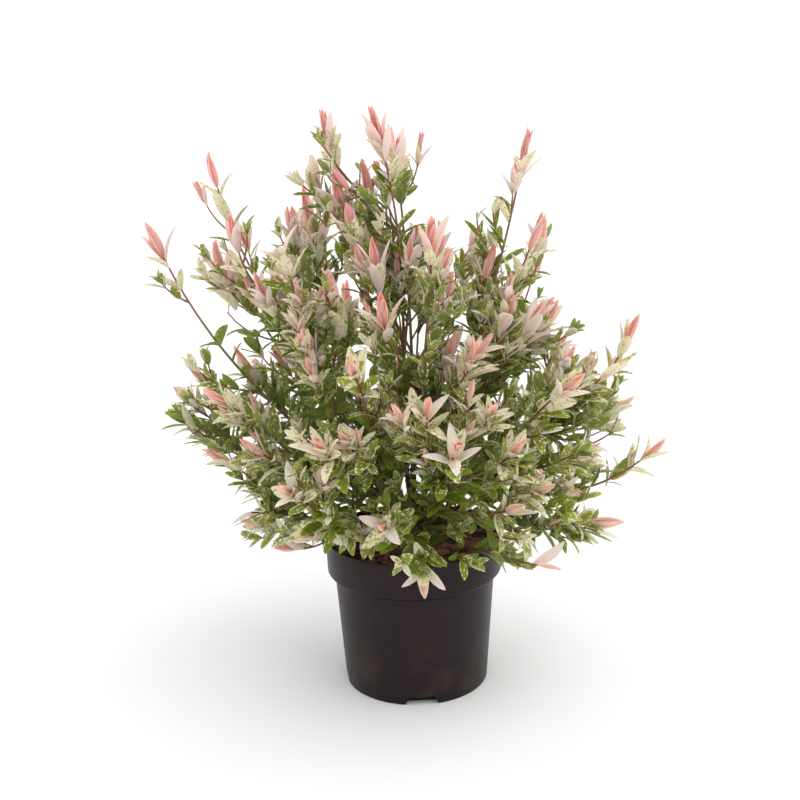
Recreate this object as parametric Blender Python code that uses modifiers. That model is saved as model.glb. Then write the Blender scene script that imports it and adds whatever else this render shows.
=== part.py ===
"""Dappled willow shrub in a round plastic nursery pot, as solids in metres with +Z up.

The origin is the centre of the pot's flat underside, and -Y is the front.
Many stems rise from one short stump. Each stem is a bare bough as far as its leaves begin,
and a mass of foliage from there to its tip.
"""

import math
import random
from typing import NamedTuple

import bmesh
import bpy
import numpy as np
from mathutils import Matrix, Quaternion, Vector

SEED = 41
GAP = 0.0003  # between two pieces that touch
GOLDEN_ANGLE = math.radians(137.5)
UP = Vector((0, 0, 1))

# Pot
POT_HEIGHT = 0.1636
RIM_RADIUS = 0.095
LIP_HEIGHT = 0.0385
LIP_FOOT_RADIUS = 0.0939
BODY_TOP_RADIUS = 0.0862
BODY_FOOT_RADIUS = 0.0775
POT_WALL = 0.0018
POT_FLOOR = 0.0026
LIP_ROUNDING = 0.003
FOOT_ROUNDING = 0.0014
POT_STEPS = 40
NOTCH_COUNT = 4
NOTCH_AZIMUTH = math.radians(-86.5)
NOTCH_MOUTH = 0.029
NOTCH_TOP = 0.021
NOTCH_HEIGHT = 0.0075
NOTCH_DEPTH = 0.011

# Potting bark that fills the pot, and the stump that stands on it
BARK_TOP = 0.1525
BARK_SAG = 0.003
BARK_LEVEL_RADIUS = 0.0294  # within which the bark lies level
BARK_BEND_SHARE = 0.72  # of the way to the wall, where it has sagged by BARK_BEND_SAG of the whole
BARK_BEND_SAG = 0.4
STUMP_FOOT_RADIUS = 0.021
STUMP_FLARE_RADIUS = 0.014375
STUMP_FLARE_SHARE = 0.15  # of the rise to the head's centre
STUMP_WAIST_RADIUS = 0.0115
STUMP_WAIST_SHARE = 0.4
STUMP_HEAD_RADIUS = 0.016
STUMP_HEAD_RISE = 0.0215  # of the head's centre above the bark
STUMP_STEPS = 16

# Boughs
BOUGH_FOOT_RADIUS = 0.0022
BOUGH_END_RADIUS = 0.0017
BOUGH_POINTS = 6
CURVE_PULL = 0.38  # share of a shoot's span over which each of its ends keeps its direction
WANDER = 0.035  # sideways bend of a shoot, as a share of its span

# Twigs and leaves of the masses
LEADER_ROOT_RADIUS = 0.0022
LEADER_END_RADIUS = 0.0016
TWIG_ROOT_RADIUS = 0.0012
TWIG_END_RADIUS = 0.0011
LEADER_POINTS = 6
TWIG_POINTS = 3
TWIG_STARTS = (0.14, 0.38, 0.62)  # along the leader
TWIG_LENGTH = 0.40  # share of the leader's length, before it shortens towards the tip
TWIG_SHORTENING = 0.55
TWIG_ANGLE = math.radians(46)
TWIG_RISE = 0.4  # pull of the vertical on the heading in which a side twig ends
TWIG_SPREAD = 0.25  # pull away from the leader on the same heading
TWIG_BEND = 0.35  # share of a side twig's course that follows that heading
TWIG_CLEAR_SHARE = 0.25  # the stretch at a side twig's foot that may touch other twigs
LEAF_LENGTH = 0.049
LEAF_WIDTH = 0.0215
LEAF_THICKNESS = 0.0018
LEAF_WIDEST = 0.42
LEAF_SUNK = 0.0004  # how far a leaf's root lies beyond its twig's centre line
LEAF_DROOP = 0.10
LEAF_FOLD = 0.12
LEAF_STEP = 0.042
FIRST_NODE = 0.55  # of a step, from a twig's foot to its first pair
LEAF_ANGLE = math.radians(54)
LEAF_ANGLE_SPREAD = 0.15  # in radians, either way
PAIR_TURN_SPREAD = 0.3  # in radians, either way from square to the pair below
LEAF_SIZES = (0.88, 1.08)
BLADE_SHARES = (0.3, 0.55, 0.8)  # places along a leaf that keep clear of the mass's other leaves
BLADE_MARGIN = 0.010
TUFT_LENGTH = 0.042
TUFT_WIDTH = 0.0165
TUFT_ANGLE = math.radians(30)
TUFT_DROP = 0.004  # of a tuft's outer leaves below the twig's tip
SMALLER = (1.0, 0.8, 0.64)  # sizes at which a leaf or twig is tried
SPACE_MARGIN = 0.0009  # from a mass's last point to the halfway surface between two leaders
LIMB_MARGIN = 0.0008
LEADER_SAMPLES = 46  # places along a leader or a limb at which distance is measured
LIMB_SAMPLES = 30
STEEP = 0.9  # cosine of the angle to the vertical within which a twig counts as upright


class Tier(NamedTuple):
    """Shoots of like habit: the angles are in degrees from the vertical."""

    name: str
    foot_angle: float
    tip_angle: float
    bare_share: float
    tips: tuple  # azimuth in degrees, reach from the axis and height of each shoot's tip


TIERS = (
    Tier("top", 21, 13, 0.24, (
        (166, 0.211, 0.571),
        (-146, 0.036, 0.613),
        (13, 0.132, 0.588),
        (100, 0.060, 0.600),
    )),
    Tier("shoulder", 47, 24, 0.26, (
        (180, 0.264, 0.503),
        (-137, 0.180, 0.525),
        (-79, 0.133, 0.515),
        (-28, 0.150, 0.510),
        (0, 0.238, 0.398),
        (41, 0.200, 0.450),
        (84, 0.170, 0.472),
        (130, 0.190, 0.500),
    )),
    Tier("waist", 71, 52, 0.30, (
        (178, 0.268, 0.312),
        (-150, 0.228, 0.356),
        (-106, 0.208, 0.400),
        (-78, 0.212, 0.325),
        (-44, 0.222, 0.370),
        (-4, 0.268, 0.266),
        (46, 0.262, 0.320),
        (92, 0.250, 0.330),
        (137, 0.258, 0.325),
    )),
    Tier("spill", 62, 132, 0.42, (
        (-86, 0.152, 0.148),
    )),
    Tier("skirt", 90, 84, 0.42, (
        (-172, 0.207, 0.203),
        (-127, 0.186, 0.215),
        (-45, 0.205, 0.175),
        (-14, 0.222, 0.192),
        (62, 0.222, 0.205),
        (122, 0.225, 0.212),
    )),
)


def plain_material(name, colour, roughness):
    material = bpy.data.materials.new(name)
    material.use_nodes = True
    shader = material.node_tree.nodes["Principled BSDF"]
    shader.inputs["Base Color"].default_value = (*colour, 1)
    shader.inputs["Roughness"].default_value = roughness
    shader.inputs["Metallic"].default_value = 0
    return material


def new_object(name, data, collection, material=None):
    made = bpy.data.objects.new(name, data)
    collection.objects.link(made)
    if material:
        data.materials.append(material)
    return made


def outward(azimuth, angle):
    """The unit vector at this azimuth and angle from the vertical."""
    side = math.sin(angle)
    return Vector((side * math.cos(azimuth), side * math.sin(azimuth), math.cos(angle)))


def arc(centre_x, centre_z, radius, first, last, count):
    """Points of a profile's round stretch, between two angles in degrees."""
    angles = [math.radians(first + (last - first) * i / (count - 1)) for i in range(count)]
    return [(centre_x + radius * math.cos(a), centre_z + radius * math.sin(a)) for a in angles]


def turned(name, profile, steps, collection, material):
    """A solid turned about the Z axis from (radius, height) points, top to bottom outside."""
    mesh = bpy.data.meshes.new(name)
    points = [(x, 0, z) for x, z in profile]
    mesh.from_pydata(points, [(i, i + 1) for i in range(len(points) - 1)], [])
    made = new_object(name, mesh, collection, material)
    screw = made.modifiers.new("turned", "SCREW")
    screw.steps = steps
    screw.render_steps = steps
    screw.use_merge_vertices = True
    screw.merge_threshold = 0.00001
    screw.use_smooth_shade = True
    return made


def inner_radius(height):
    """The pot's inner radius below its lip."""
    share = height / (POT_HEIGHT - LIP_HEIGHT)
    return BODY_FOOT_RADIUS + (BODY_TOP_RADIUS - BODY_FOOT_RADIUS) * share - POT_WALL


def notch_cutter(collection):
    """The four drainage notches, each a block that narrows upwards, in one cutter."""
    bm = bmesh.new()
    for i in range(NOTCH_COUNT):
        made = bmesh.ops.create_cube(bm, size=1)["verts"]
        for vert in made:
            half = NOTCH_MOUTH / 2 if vert.co.z < 0 else NOTCH_TOP / 2
            vert.co.x *= 2 * NOTCH_DEPTH
            vert.co.y = math.copysign(half, vert.co.y)
            vert.co.z = -NOTCH_HEIGHT if vert.co.z < 0 else NOTCH_HEIGHT
        turn = Matrix.Rotation(NOTCH_AZIMUTH + math.tau * i / NOTCH_COUNT, 4, "Z")
        bmesh.ops.translate(bm, verts=made, vec=(BODY_FOOT_RADIUS, 0, 0))
        bmesh.ops.transform(bm, verts=made, matrix=turn)
    mesh = bpy.data.meshes.new("notch_cutter")
    bm.to_mesh(mesh)
    bm.free()
    cutter = new_object("notch_cutter", mesh, collection)
    cutter.hide_render = True
    cutter.display_type = "WIRE"
    return cutter


def make_pot(parts, cutters):
    step = POT_HEIGHT - LIP_HEIGHT
    profile = [(0, POT_FLOOR), (inner_radius(POT_FLOOR), POT_FLOOR)]
    profile += [(inner_radius(step), step + POT_WALL)]
    profile += [(LIP_FOOT_RADIUS - POT_WALL, step + POT_WALL)]
    profile += arc(RIM_RADIUS - POT_WALL / 2, POT_HEIGHT - POT_WALL / 2, POT_WALL / 2, 180, 0, 3)
    profile += arc(LIP_FOOT_RADIUS - LIP_ROUNDING, step + LIP_ROUNDING, LIP_ROUNDING, 0, -90, 4)
    profile += [(BODY_TOP_RADIUS, step)]
    profile += arc(BODY_FOOT_RADIUS - FOOT_ROUNDING, FOOT_ROUNDING, FOOT_ROUNDING, 0, -90, 3)
    profile += [(0, 0)]
    plastic = plain_material("black_plastic", (0.036, 0.029, 0.028), 0.42)
    pot = turned("pot", profile, POT_STEPS, parts, plastic)
    notches = pot.modifiers.new("notches", "BOOLEAN")
    notches.operation = "DIFFERENCE"
    notches.object = notch_cutter(cutters)
    return pot


def make_potting_bark(parts):
    """The bark inside the pot, sagging a little towards the wall."""
    foot = POT_FLOOR + GAP
    step = POT_HEIGHT - LIP_HEIGHT
    shoulder = step + POT_WALL + GAP
    edge = LIP_FOOT_RADIUS - POT_WALL - GAP
    profile = [(0, BARK_TOP), (BARK_LEVEL_RADIUS, BARK_TOP)]
    profile += [(edge * BARK_BEND_SHARE, BARK_TOP - BARK_SAG * BARK_BEND_SAG)]
    profile += [(edge, BARK_TOP - BARK_SAG)]
    profile += [(edge, shoulder), (inner_radius(step) - GAP, shoulder)]
    profile += [(inner_radius(foot) - GAP, foot), (0, foot)]
    chips = plain_material("potting_bark", (0.105, 0.052, 0.033), 0.95)
    return turned("potting_bark", profile, POT_STEPS, parts, chips)


def make_stump(parts, wood):
    """A short stem, flared at its flat foot and swollen at the head the boughs spring from."""
    foot = BARK_TOP + GAP
    head = BARK_TOP + STUMP_HEAD_RISE
    profile = arc(0, head, STUMP_HEAD_RADIUS, 90, -38, 7)
    profile[0] = (0, profile[0][1])
    profile += [(STUMP_WAIST_RADIUS, foot + STUMP_WAIST_SHARE * STUMP_HEAD_RISE)]
    profile += [(STUMP_FLARE_RADIUS, foot + STUMP_FLARE_SHARE * STUMP_HEAD_RISE)]
    profile += [(STUMP_FOOT_RADIUS, foot), (0, foot)]
    return turned("stump", profile, STUMP_STEPS, parts, wood)


class Curve:
    """A cubic curve between two points that leaves and arrives in given directions."""

    def __init__(self, foot, foot_direction, tip, tip_direction, sideways=Vector()):
        span = (tip - foot).length * CURVE_PULL
        self.points = (
            foot,
            foot + foot_direction * span + sideways,
            tip - tip_direction * span - sideways,
            tip,
        )

    def at(self, t):
        weights = ((1 - t) ** 3, 3 * t * (1 - t) ** 2, 3 * t * t * (1 - t), t**3)
        return sum((p * w for p, w in zip(self.points, weights)), Vector())

    def heading(self, t):
        a, b, c, d = self.points
        slope = (b - a) * (1 - t) ** 2 + (c - b) * 2 * t * (1 - t) + (d - c) * t * t
        return slope.normalized()

    def stretch(self, first, last, count):
        return [self.at(first + (last - first) * i / (count - 1)) for i in range(count)]


class Shoot:
    """One stem from the stump to its tip: its curve, and where its bough gives way to leaves."""

    def __init__(self, tier, number, foot_azimuth, chance):
        azimuth, reach, height = tier.tips[number]
        azimuth = math.radians(azimuth)
        head = Vector((0, 0, BARK_TOP + STUMP_HEAD_RISE))
        leave = outward(foot_azimuth, math.radians(tier.foot_angle))
        arrive = outward(azimuth, math.radians(tier.tip_angle))
        tip = Vector((reach * math.cos(azimuth), reach * math.sin(azimuth), height))
        tip -= arrive * TUFT_LENGTH
        foot = head + leave * (STUMP_HEAD_RADIUS + GAP)
        bend = (tip - foot).length * chance.uniform(-WANDER, WANDER)
        sideways = arrive.cross(UP).normalized() * bend
        self.name = f"{tier.name}_{number + 1}"
        self.curve = Curve(foot, leave, tip, arrive, sideways)
        self.bare_share = tier.bare_share
        self.leafy_start = tier.bare_share + GAP / (tip - foot).length

    def bough_points(self):
        return self.curve.stretch(0, self.bare_share, BOUGH_POINTS)

    def leader_points(self):
        return self.curve.stretch(self.leafy_start, 1, LEADER_POINTS)


def all_shoots(chance):
    """Every tier's shoots, whose feet stand evenly round the stump in the order of their tips."""
    found = []
    for tier in TIERS:
        order = sorted(range(len(tier.tips)), key=lambda i: tier.tips[i][0] % 360)
        middle = sum(tier.tips[i][0] % 360 for i in order) / len(order)
        for place, number in enumerate(order):
            even = middle + 360 * (place - (len(order) - 1) / 2) / len(order)
            found.append(Shoot(tier, number, math.radians(even), chance))
    return found


def make_bough(shoot, parts, wood):
    """A tapering round limb from the stump to the foot of its leaves."""
    data = bpy.data.curves.new(f"bough_{shoot.name}", "CURVE")
    data.dimensions = "3D"
    data.bevel_depth = 1
    data.bevel_resolution = 1
    data.use_fill_caps = True
    spline = data.splines.new("POLY")
    points = shoot.bough_points()
    spline.points.add(len(points) - 1)
    for i, (place, point) in enumerate(zip(points, spline.points)):
        share = i / (len(points) - 1)
        point.co = (*place, 1)
        point.radius = BOUGH_FOOT_RADIUS + (BOUGH_END_RADIUS - BOUGH_FOOT_RADIUS) * share
    return new_object(data.name, data, parts, wood)


class Space:
    """What tells each mass its own room: the leaders, the limbs and the pot."""

    def __init__(self, shoots):
        self.leaders = [self.dense(s.curve, s.leafy_start, 1, LEADER_SAMPLES) for s in shoots]
        limbs = [self.dense(s.curve, 0, s.bare_share, LIMB_SAMPLES) for s in shoots]
        self.limbs = np.concatenate(limbs)

    @staticmethod
    def dense(curve, first, last, count):
        return np.array([tuple(p) for p in curve.stretch(first, last, count)])

    def holds(self, owner, points):
        """Whether these points lie in the owner's room, clear of every limb and of the pot."""
        places = np.array([tuple(p) for p in points])
        radius = np.hypot(places[:, 0], places[:, 1])
        low = places[:, 2] < POT_HEIGHT + LIMB_MARGIN
        if (low & (radius < RIM_RADIUS + LIMB_MARGIN)).any():
            return False
        if self.distances(places, self.limbs).min() < BOUGH_FOOT_RADIUS + LIMB_MARGIN:
            return False
        own = self.distances(places, self.leaders[owner]).min(axis=1)
        for other, leader in enumerate(self.leaders):
            if other != owner:
                beyond = self.distances(places, leader).min(axis=1)
                if (beyond < own + 2 * SPACE_MARGIN).any():
                    return False
        return True

    @staticmethod
    def distances(places, line):
        return np.linalg.norm(places[:, None, :] - line[None, :, :], axis=2)


def across_of(direction, spin):
    """A unit vector square to a direction, turned about it by an angle."""
    aside = Vector((1, 0, 0)) if abs(direction.z) > STEEP else UP
    return Quaternion(direction, spin) @ direction.cross(aside).normalized()


def leaf_corners(root, heading, across, length, width, thickness):
    """A leaf's root, tip, two edges, upper and lower middle."""
    face = across.cross(heading).normalized()
    base = root - heading * LEAF_SUNK
    middle = base + heading * length * LEAF_WIDEST
    lift = face * width * LEAF_FOLD
    return (
        base,
        base + heading * length - face * length * LEAF_DROOP,
        middle + across * width / 2 + lift,
        middle - across * width / 2 + lift,
        middle + face * thickness / 2,
        middle - face * thickness / 2,
    )


def leaf_mesh(corners):
    """An eight-sided leaf: a coarse ball whose two poles are the root and the tip."""
    base, tip, right, left, upper, lower = corners
    bm = bmesh.new()
    bmesh.ops.create_uvsphere(bm, u_segments=4, v_segments=2, radius=1)
    for vert in bm.verts:
        x, y, z = vert.co
        if abs(z) > 0.5:
            vert.co = tip if z > 0 else base
        elif abs(x) > 0.5:
            vert.co = right if x > 0 else left
        else:
            vert.co = upper if y > 0 else lower
    bmesh.ops.recalc_face_normals(bm, faces=bm.faces)
    mesh = bpy.data.meshes.new("leaf")
    bm.to_mesh(mesh)
    bm.free()
    return mesh


def twig_mesh(points, root_radius, end_radius):
    """A three-sided tapering twig along a line of points, closed at both ends."""
    bm = bmesh.new()
    rings = []
    heading = (points[1] - points[0]).normalized()
    side = across_of(heading, 0)
    for i, place in enumerate(points):
        ahead = points[min(i + 1, len(points) - 1)] - points[max(i - 1, 0)]
        turn = heading.rotation_difference(ahead)
        heading = ahead.normalized()
        side = turn @ side
        share = i / (len(points) - 1)
        radius = root_radius + (end_radius - root_radius) * share
        spokes = [Quaternion(heading, math.tau * k / 3) @ side for k in range(3)]
        rings.append([bm.verts.new(place + spoke * radius) for spoke in spokes])
    for low, high in zip(rings, rings[1:]):
        for k in range(3):
            bm.faces.new((low[k], low[(k + 1) % 3], high[(k + 1) % 3], high[k]))
    bm.faces.new(rings[0][::-1])
    bm.faces.new(rings[-1])
    bmesh.ops.recalc_face_normals(bm, faces=bm.faces)
    mesh = bpy.data.meshes.new("twig")
    bm.to_mesh(mesh)
    bm.free()
    return mesh


class Mass:
    """The twigs and leaves that one shoot bears, grown within its own room."""

    def __init__(self, shoot, owner, space, chance):
        self.owner = owner
        self.space = space
        self.chance = chance
        self.leaves = []
        self.blades = []
        self.spin = chance.uniform(0, math.tau)
        line = shoot.leader_points()
        self.twigs = [(line, LEADER_ROOT_RADIUS, LEADER_END_RADIUS)]
        leader = shoot.curve
        leafy = 1 - shoot.leafy_start
        length = sum((b - a).length for a, b in zip(line, line[1:]))
        self.tuft(leader.at(1), leader.heading(1))
        for start in TWIG_STARTS:
            self.spin += GOLDEN_ANGLE
            self.twig(leader, shoot.leafy_start + leafy * start, start, length)
        for share in self.nodes(length):
            self.pair(leader, shoot.leafy_start + leafy * share)

    @staticmethod
    def nodes(length):
        """Where along a twig of this length its pairs of leaves stand."""
        count = max(1, round(length / LEAF_STEP))
        return [(i + FIRST_NODE) / count for i in range(count)]

    def twig(self, leader, t, start, leader_length):
        """A side twig that leaves the leader and bends up beside it, with its own leaves."""
        heading = leader.heading(t)
        side = across_of(heading, self.spin)
        reach = TWIG_LENGTH * (1 - TWIG_SHORTENING * start) * leader_length
        leave = heading * math.cos(TWIG_ANGLE) + side * math.sin(TWIG_ANGLE)
        arrive = (heading + UP * TWIG_RISE + side * TWIG_SPREAD).normalized()
        course = leave.lerp(arrive, TWIG_BEND).normalized()
        foot = leader.at(t)
        for share in SMALLER:
            curve = Curve(foot, leave, foot + course * reach * share, arrive)
            if self.space.holds(self.owner, curve.stretch(TWIG_CLEAR_SHARE, 1, TWIG_POINTS)):
                line = curve.stretch(0, 1, TWIG_POINTS)
                self.twigs.append((line, TWIG_ROOT_RADIUS, TWIG_END_RADIUS))
                self.tuft(curve.at(1), curve.heading(1))
                for along in self.nodes(reach * share):
                    self.pair(curve, along)
                return

    def pair(self, curve, t):
        """Two leaves across a twig from each other."""
        self.spin += math.pi / 2 + self.chance.uniform(-PAIR_TURN_SPREAD, PAIR_TURN_SPREAD)
        for turn in (0, math.pi):
            spread = LEAF_ANGLE + self.chance.uniform(-LEAF_ANGLE_SPREAD, LEAF_ANGLE_SPREAD)
            length = LEAF_LENGTH * self.chance.uniform(*LEAF_SIZES)
            self.leaf(curve.at(t), curve.heading(t), self.spin + turn, spread, length, LEAF_WIDTH)

    def tuft(self, place, heading):
        """The upright leaf that ends a twig, between two that spread from it."""
        first = self.chance.uniform(0, math.tau)
        self.leaf(place, heading, first, 0, TUFT_LENGTH, TUFT_WIDTH)
        for turn in (0, math.pi):
            below = place - heading * TUFT_DROP
            self.leaf(below, heading, first + turn, TUFT_ANGLE, TUFT_LENGTH, TUFT_WIDTH)

    def leaf(self, place, heading, spin, spread, length, width):
        side = across_of(heading, spin)
        forward = (heading * math.cos(spread) + side * math.sin(spread)).normalized()
        across = heading.cross(side).normalized()
        for share in SMALLER:
            corners = leaf_corners(
                place, forward, across, length * share, width * share, LEAF_THICKNESS
            )
            blade = [corners[0].lerp(corners[1], along) for along in BLADE_SHARES]
            edge = [*corners[1:], *blade]
            if self.clear_of_leaves(blade) and self.space.holds(self.owner, edge):
                self.leaves.append(corners)
                self.blades += blade
                return

    def clear_of_leaves(self, blade):
        return all((a - b).length > BLADE_MARGIN for a in blade for b in self.blades)


def keep_outer_body(mesh):
    """Drops the sealed hollows and loose scraps that a union leaves inside or beside a mass."""
    bm = bmesh.new()
    bm.from_mesh(mesh)
    bmesh.ops.triangulate(bm, faces=bm.faces)
    left = set(bm.verts)
    bodies = []
    while left:
        body = {left.pop()}
        latest = set(body)
        while latest:
            latest = {e.other_vert(v) for v in latest for e in v.link_edges} - body
            body |= latest
        left -= body
        bodies.append(body)
    largest = max(bodies, key=len)
    bmesh.ops.delete(bm, geom=[v for v in bm.verts if v not in largest], context="VERTS")
    bm.to_mesh(mesh)
    bm.free()


def make_mass(mass, name, parts, joined, material):
    """One closed solid, from a single union of the leader with its twigs and leaves."""
    stem = new_object(name, twig_mesh(*mass.twigs[0]), parts, material)
    for twig in mass.twigs[1:]:
        new_object("twig", twig_mesh(*twig), joined)
    for corners in mass.leaves:
        new_object("leaf", leaf_mesh(corners), joined)
    union = stem.modifiers.new("joined", "BOOLEAN")
    union.operation = "UNION"
    union.operand_type = "COLLECTION"
    union.collection = joined
    union.solver = "EXACT"
    graph = bpy.context.evaluated_depsgraph_get()
    result = bpy.data.meshes.new_from_object(stem.evaluated_get(graph))
    stem.modifiers.remove(union)
    stem.data = result
    result.name = name
    keep_outer_body(result)
    for used in list(joined.objects):
        data = used.data
        bpy.data.objects.remove(used)
        bpy.data.meshes.remove(data)
    return stem


def main():
    for old in list(bpy.data.objects):
        bpy.data.objects.remove(old)
    parts = bpy.data.collections.new("potted_dappled_willow")
    cutters = bpy.data.collections.new("cutters")
    joined = bpy.data.collections.new("joined")
    for collection in (parts, cutters, joined):
        bpy.context.scene.collection.children.link(collection)
    wood = plain_material("shrub_wood", (0.105, 0.060, 0.038), 0.8)
    leaf_tints = {
        "top": plain_material("leaf_coral", (0.71, 0.31, 0.26), 0.6),
        "shoulder": plain_material("leaf_cream", (0.66, 0.55, 0.42), 0.6),
        "waist": plain_material("leaf_dappled", (0.31, 0.36, 0.16), 0.6),
        "spill": plain_material("leaf_pale", (0.56, 0.56, 0.36), 0.6),
        "skirt": plain_material("leaf_green", (0.11, 0.19, 0.06), 0.6),
    }
    make_pot(parts, cutters)
    make_potting_bark(parts)
    make_stump(parts, wood)
    shoots = all_shoots(random.Random(SEED))
    space = Space(shoots)
    for owner, shoot in enumerate(shoots):
        make_bough(shoot, parts, wood)
        mass = Mass(shoot, owner, space, random.Random(SEED + owner))
        tint = leaf_tints[shoot.name.split("_")[0]]
        make_mass(mass, f"foliage_{shoot.name}", parts, joined, tint)
    bpy.data.collections.remove(joined)


main()
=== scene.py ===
"""Looks of a potted dappled willow shrub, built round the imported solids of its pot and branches.

Metres, with +Z up. The origin is the centre of the pot's flat underside, and -Y is the front.
"""

import functools
import math
import random
from typing import NamedTuple

import bmesh
import bpy
import numpy as np
from bpy.props import FloatProperty, FloatVectorProperty, IntProperty, PointerProperty
from mathutils import Matrix, Quaternion, Vector, noise


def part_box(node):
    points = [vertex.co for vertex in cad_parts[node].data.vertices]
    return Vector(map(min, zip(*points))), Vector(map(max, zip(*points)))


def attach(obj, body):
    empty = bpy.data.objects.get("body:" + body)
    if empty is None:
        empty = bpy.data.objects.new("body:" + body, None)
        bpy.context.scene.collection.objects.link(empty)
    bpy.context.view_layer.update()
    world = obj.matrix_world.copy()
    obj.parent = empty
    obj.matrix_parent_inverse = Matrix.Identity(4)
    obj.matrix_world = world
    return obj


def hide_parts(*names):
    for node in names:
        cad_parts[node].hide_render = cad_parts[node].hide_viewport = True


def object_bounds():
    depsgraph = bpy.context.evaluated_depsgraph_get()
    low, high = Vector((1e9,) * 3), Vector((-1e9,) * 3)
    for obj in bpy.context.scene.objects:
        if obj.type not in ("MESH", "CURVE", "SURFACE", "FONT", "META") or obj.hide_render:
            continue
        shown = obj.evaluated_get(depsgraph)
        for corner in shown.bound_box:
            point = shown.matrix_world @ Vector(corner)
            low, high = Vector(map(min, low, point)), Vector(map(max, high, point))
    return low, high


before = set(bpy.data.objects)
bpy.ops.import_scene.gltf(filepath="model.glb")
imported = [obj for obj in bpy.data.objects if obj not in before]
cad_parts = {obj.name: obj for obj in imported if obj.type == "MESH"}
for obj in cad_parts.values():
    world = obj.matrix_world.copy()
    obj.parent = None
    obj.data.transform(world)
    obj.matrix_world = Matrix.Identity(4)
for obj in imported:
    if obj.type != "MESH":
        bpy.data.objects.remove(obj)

bl_info = {
    "name": "Potted dappled willow",
    "version": (1, 0, 0),
    "blender": (4, 5, 0),
    "location": "3D View > Sidebar > Willow",
    "description": "Makes a dappled willow shrub in a nursery pot, piece by piece",
    "category": "Add Mesh",
}

SOLID_LOW, SOLID_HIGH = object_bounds()
PATTERN_MAP = "OFBake"
UP = Vector((0, 0, 1))

# Rule by which the shoots grow, as in the part's source
SEED = 41
GAP = 0.0003
GOLDEN_ANGLE = math.radians(137.5)
BARK_TOP = 0.1525
STUMP_HEAD_RADIUS = 0.016
STUMP_HEAD_RISE = 0.0215
CURVE_PULL = 0.38
WANDER = 0.035
TWIG_STARTS = (0.14, 0.38, 0.62)
TWIG_LENGTH = 0.40
TWIG_SHORTENING = 0.55
TWIG_ANGLE = math.radians(46)
TWIG_RISE = 0.4
TWIG_SPREAD = 0.25
TWIG_BEND = 0.35
STEEP = 0.9

# Finer growth that only this script has
FORK_FEET = (0.22, 0.78)  # along a shoot, where forks may leave it
FORK_LEAST = 0.09  # least length of a fork
FORK_TRIES = 12  # places on each leader from which a fork is tried
FORK_PROBES = (0.25, 0.5, 0.7, 0.85, 1)  # along a fork, where it is tried against the pot
FORK_SEED = 100
FORK_SIZES = (0.85, 1.05)  # of a fork's rosette
FORK_THICKNESS = 0.66  # of a bough's
FORK_TWIG_STEP = 0.034
FORK_TWIG_LENGTHS = (0.040, 0.095)
FORK_YOUTH = 0.15  # of the wood at a fork's foot
BOUGH_TAPER = 0.8
BOUGH_LAP = 0.01  # how far a bough runs on among its leaves
BOUGH_YOUTH = 0.1
TWIG_PROBES = (0.4, 0.7, 1)  # along a twig, where it is tried against the gaps and the pot
TWIG_TRIES = (1, 0.75, 0.5)  # shares of its length at which a twig is tried
TWIG_ROOM = 0.02  # that a twig needs beyond its tip
TWIG_RADII = (1.35, 0.8)  # at its foot and tip, as shares of a shoot's tip
TWIG_YOUTH = 0.45
SOURCE_TWIG_SIZE = 0.94  # of the source's twigs, against the length that they have there
FINE_TWIG_STEP = 0.042  # along a leader, between side twigs
FINE_TWIG_SIZES = (0.5, 0.9)  # of a fine twig, as shares of the source's twig there
FINE_TWIG_ANGLE = math.radians(34)
FINE_TWIG_END = 0.9  # share of a leader's leafy part up to which it bears them
LOW_TWIG_FIRST = 0.40  # share of a bough below which it bears nothing
LOW_TWIG_STEP = 0.020
LOW_TWIG_LENGTHS = (0.045, 0.090)
LEADER_STEP = 0.0225  # between pairs of leaves
TWIG_STEP = 0.0165
LEADER_LEAF = 0.036
TWIG_LEAF = 0.0275
NEAR_SPREAD = (16, 32)  # degrees from the stem that leaves take near its tip
FAR_SPREAD = (42, 66)  # and further down
FAR_LEAVES = 0.10
LEADER_FADE = 0.10  # from a tip, over which leaves turn from pale to green
FORK_FADE = 0.09
TWIG_FADE = 0.045
PALE_YOUTH = 0.95
DAPPLED_YOUTH = 0.27
YOUTH_WANDER = 0.2
TURN_WANDER = 0.35
PAIR_SIZES = (0.7, 1.08)
LEAF_WIDTHS = (0.88, 1.14)
SKYWARD = 0.55  # how far a leaf's upper side turns to the sky
PETAL_SKYWARD = 0.25
REACH_MARGIN = 0.008  # beyond the solids' box, which no leaf passes
POT_MARGIN = 0.002
ROSETTE_PAIRS = (  # kinds low and high, drop below the tip, least and greatest angle, length
    ("pale", "coral", 0.002, 10, 20, 0.036),
    ("blush", "blush", 0.007, 24, 42, 0.040),
    ("pale", "blush", 0.017, 38, 58, 0.037),
    ("dappled", "pale", 0.030, 36, 54, 0.036),
    ("dappled", "dappled", 0.046, 38, 56, 0.035),
)
MISSING_PAIR = 0.22  # chance that a rosette lacks one of its pairs
PETAL_SIZES = (0.86, 1.1)
PETAL_TURN = 0.5  # of the first pair about the stem, against the bud
PETAL_WANDER = 0.3
BUD_LENGTHS = (0.036, 0.033, 0.029)
BUD_ANGLES = (2, 8)
PLAIN_PAIRS = ((6, 16, 0.028), (26, 44, 0.032))  # least and greatest angle, length
PLAIN_KINDS = ("pale", "dappled", "dappled", "green")
PLAIN_DROP = 0.004
PLAIN_SIZES = (0.85, 1.1)
TIP_GROWTH = 3  # size that a twig's tuft gains for each metre of the twig
ROSETTE_RANGE = (0.5, 0.85)
PLAIN_RANGE = (0.45, 0.8)
TINT_STEPS = (-1, 0, 0, 0, 1)
LOW_CROWN = 0.22  # height below which tips open wide, and above which they stay nearly closed
HIGH_CROWN = 0.44
CLOSED_SHARE = 0.5  # of the open angles
ROSETTE_GROWTH = (0.98, 1.12)  # size of the low and of the high rosettes
UPPER_PALENESS = 0.38  # how much younger the leaves of the high crown look


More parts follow.
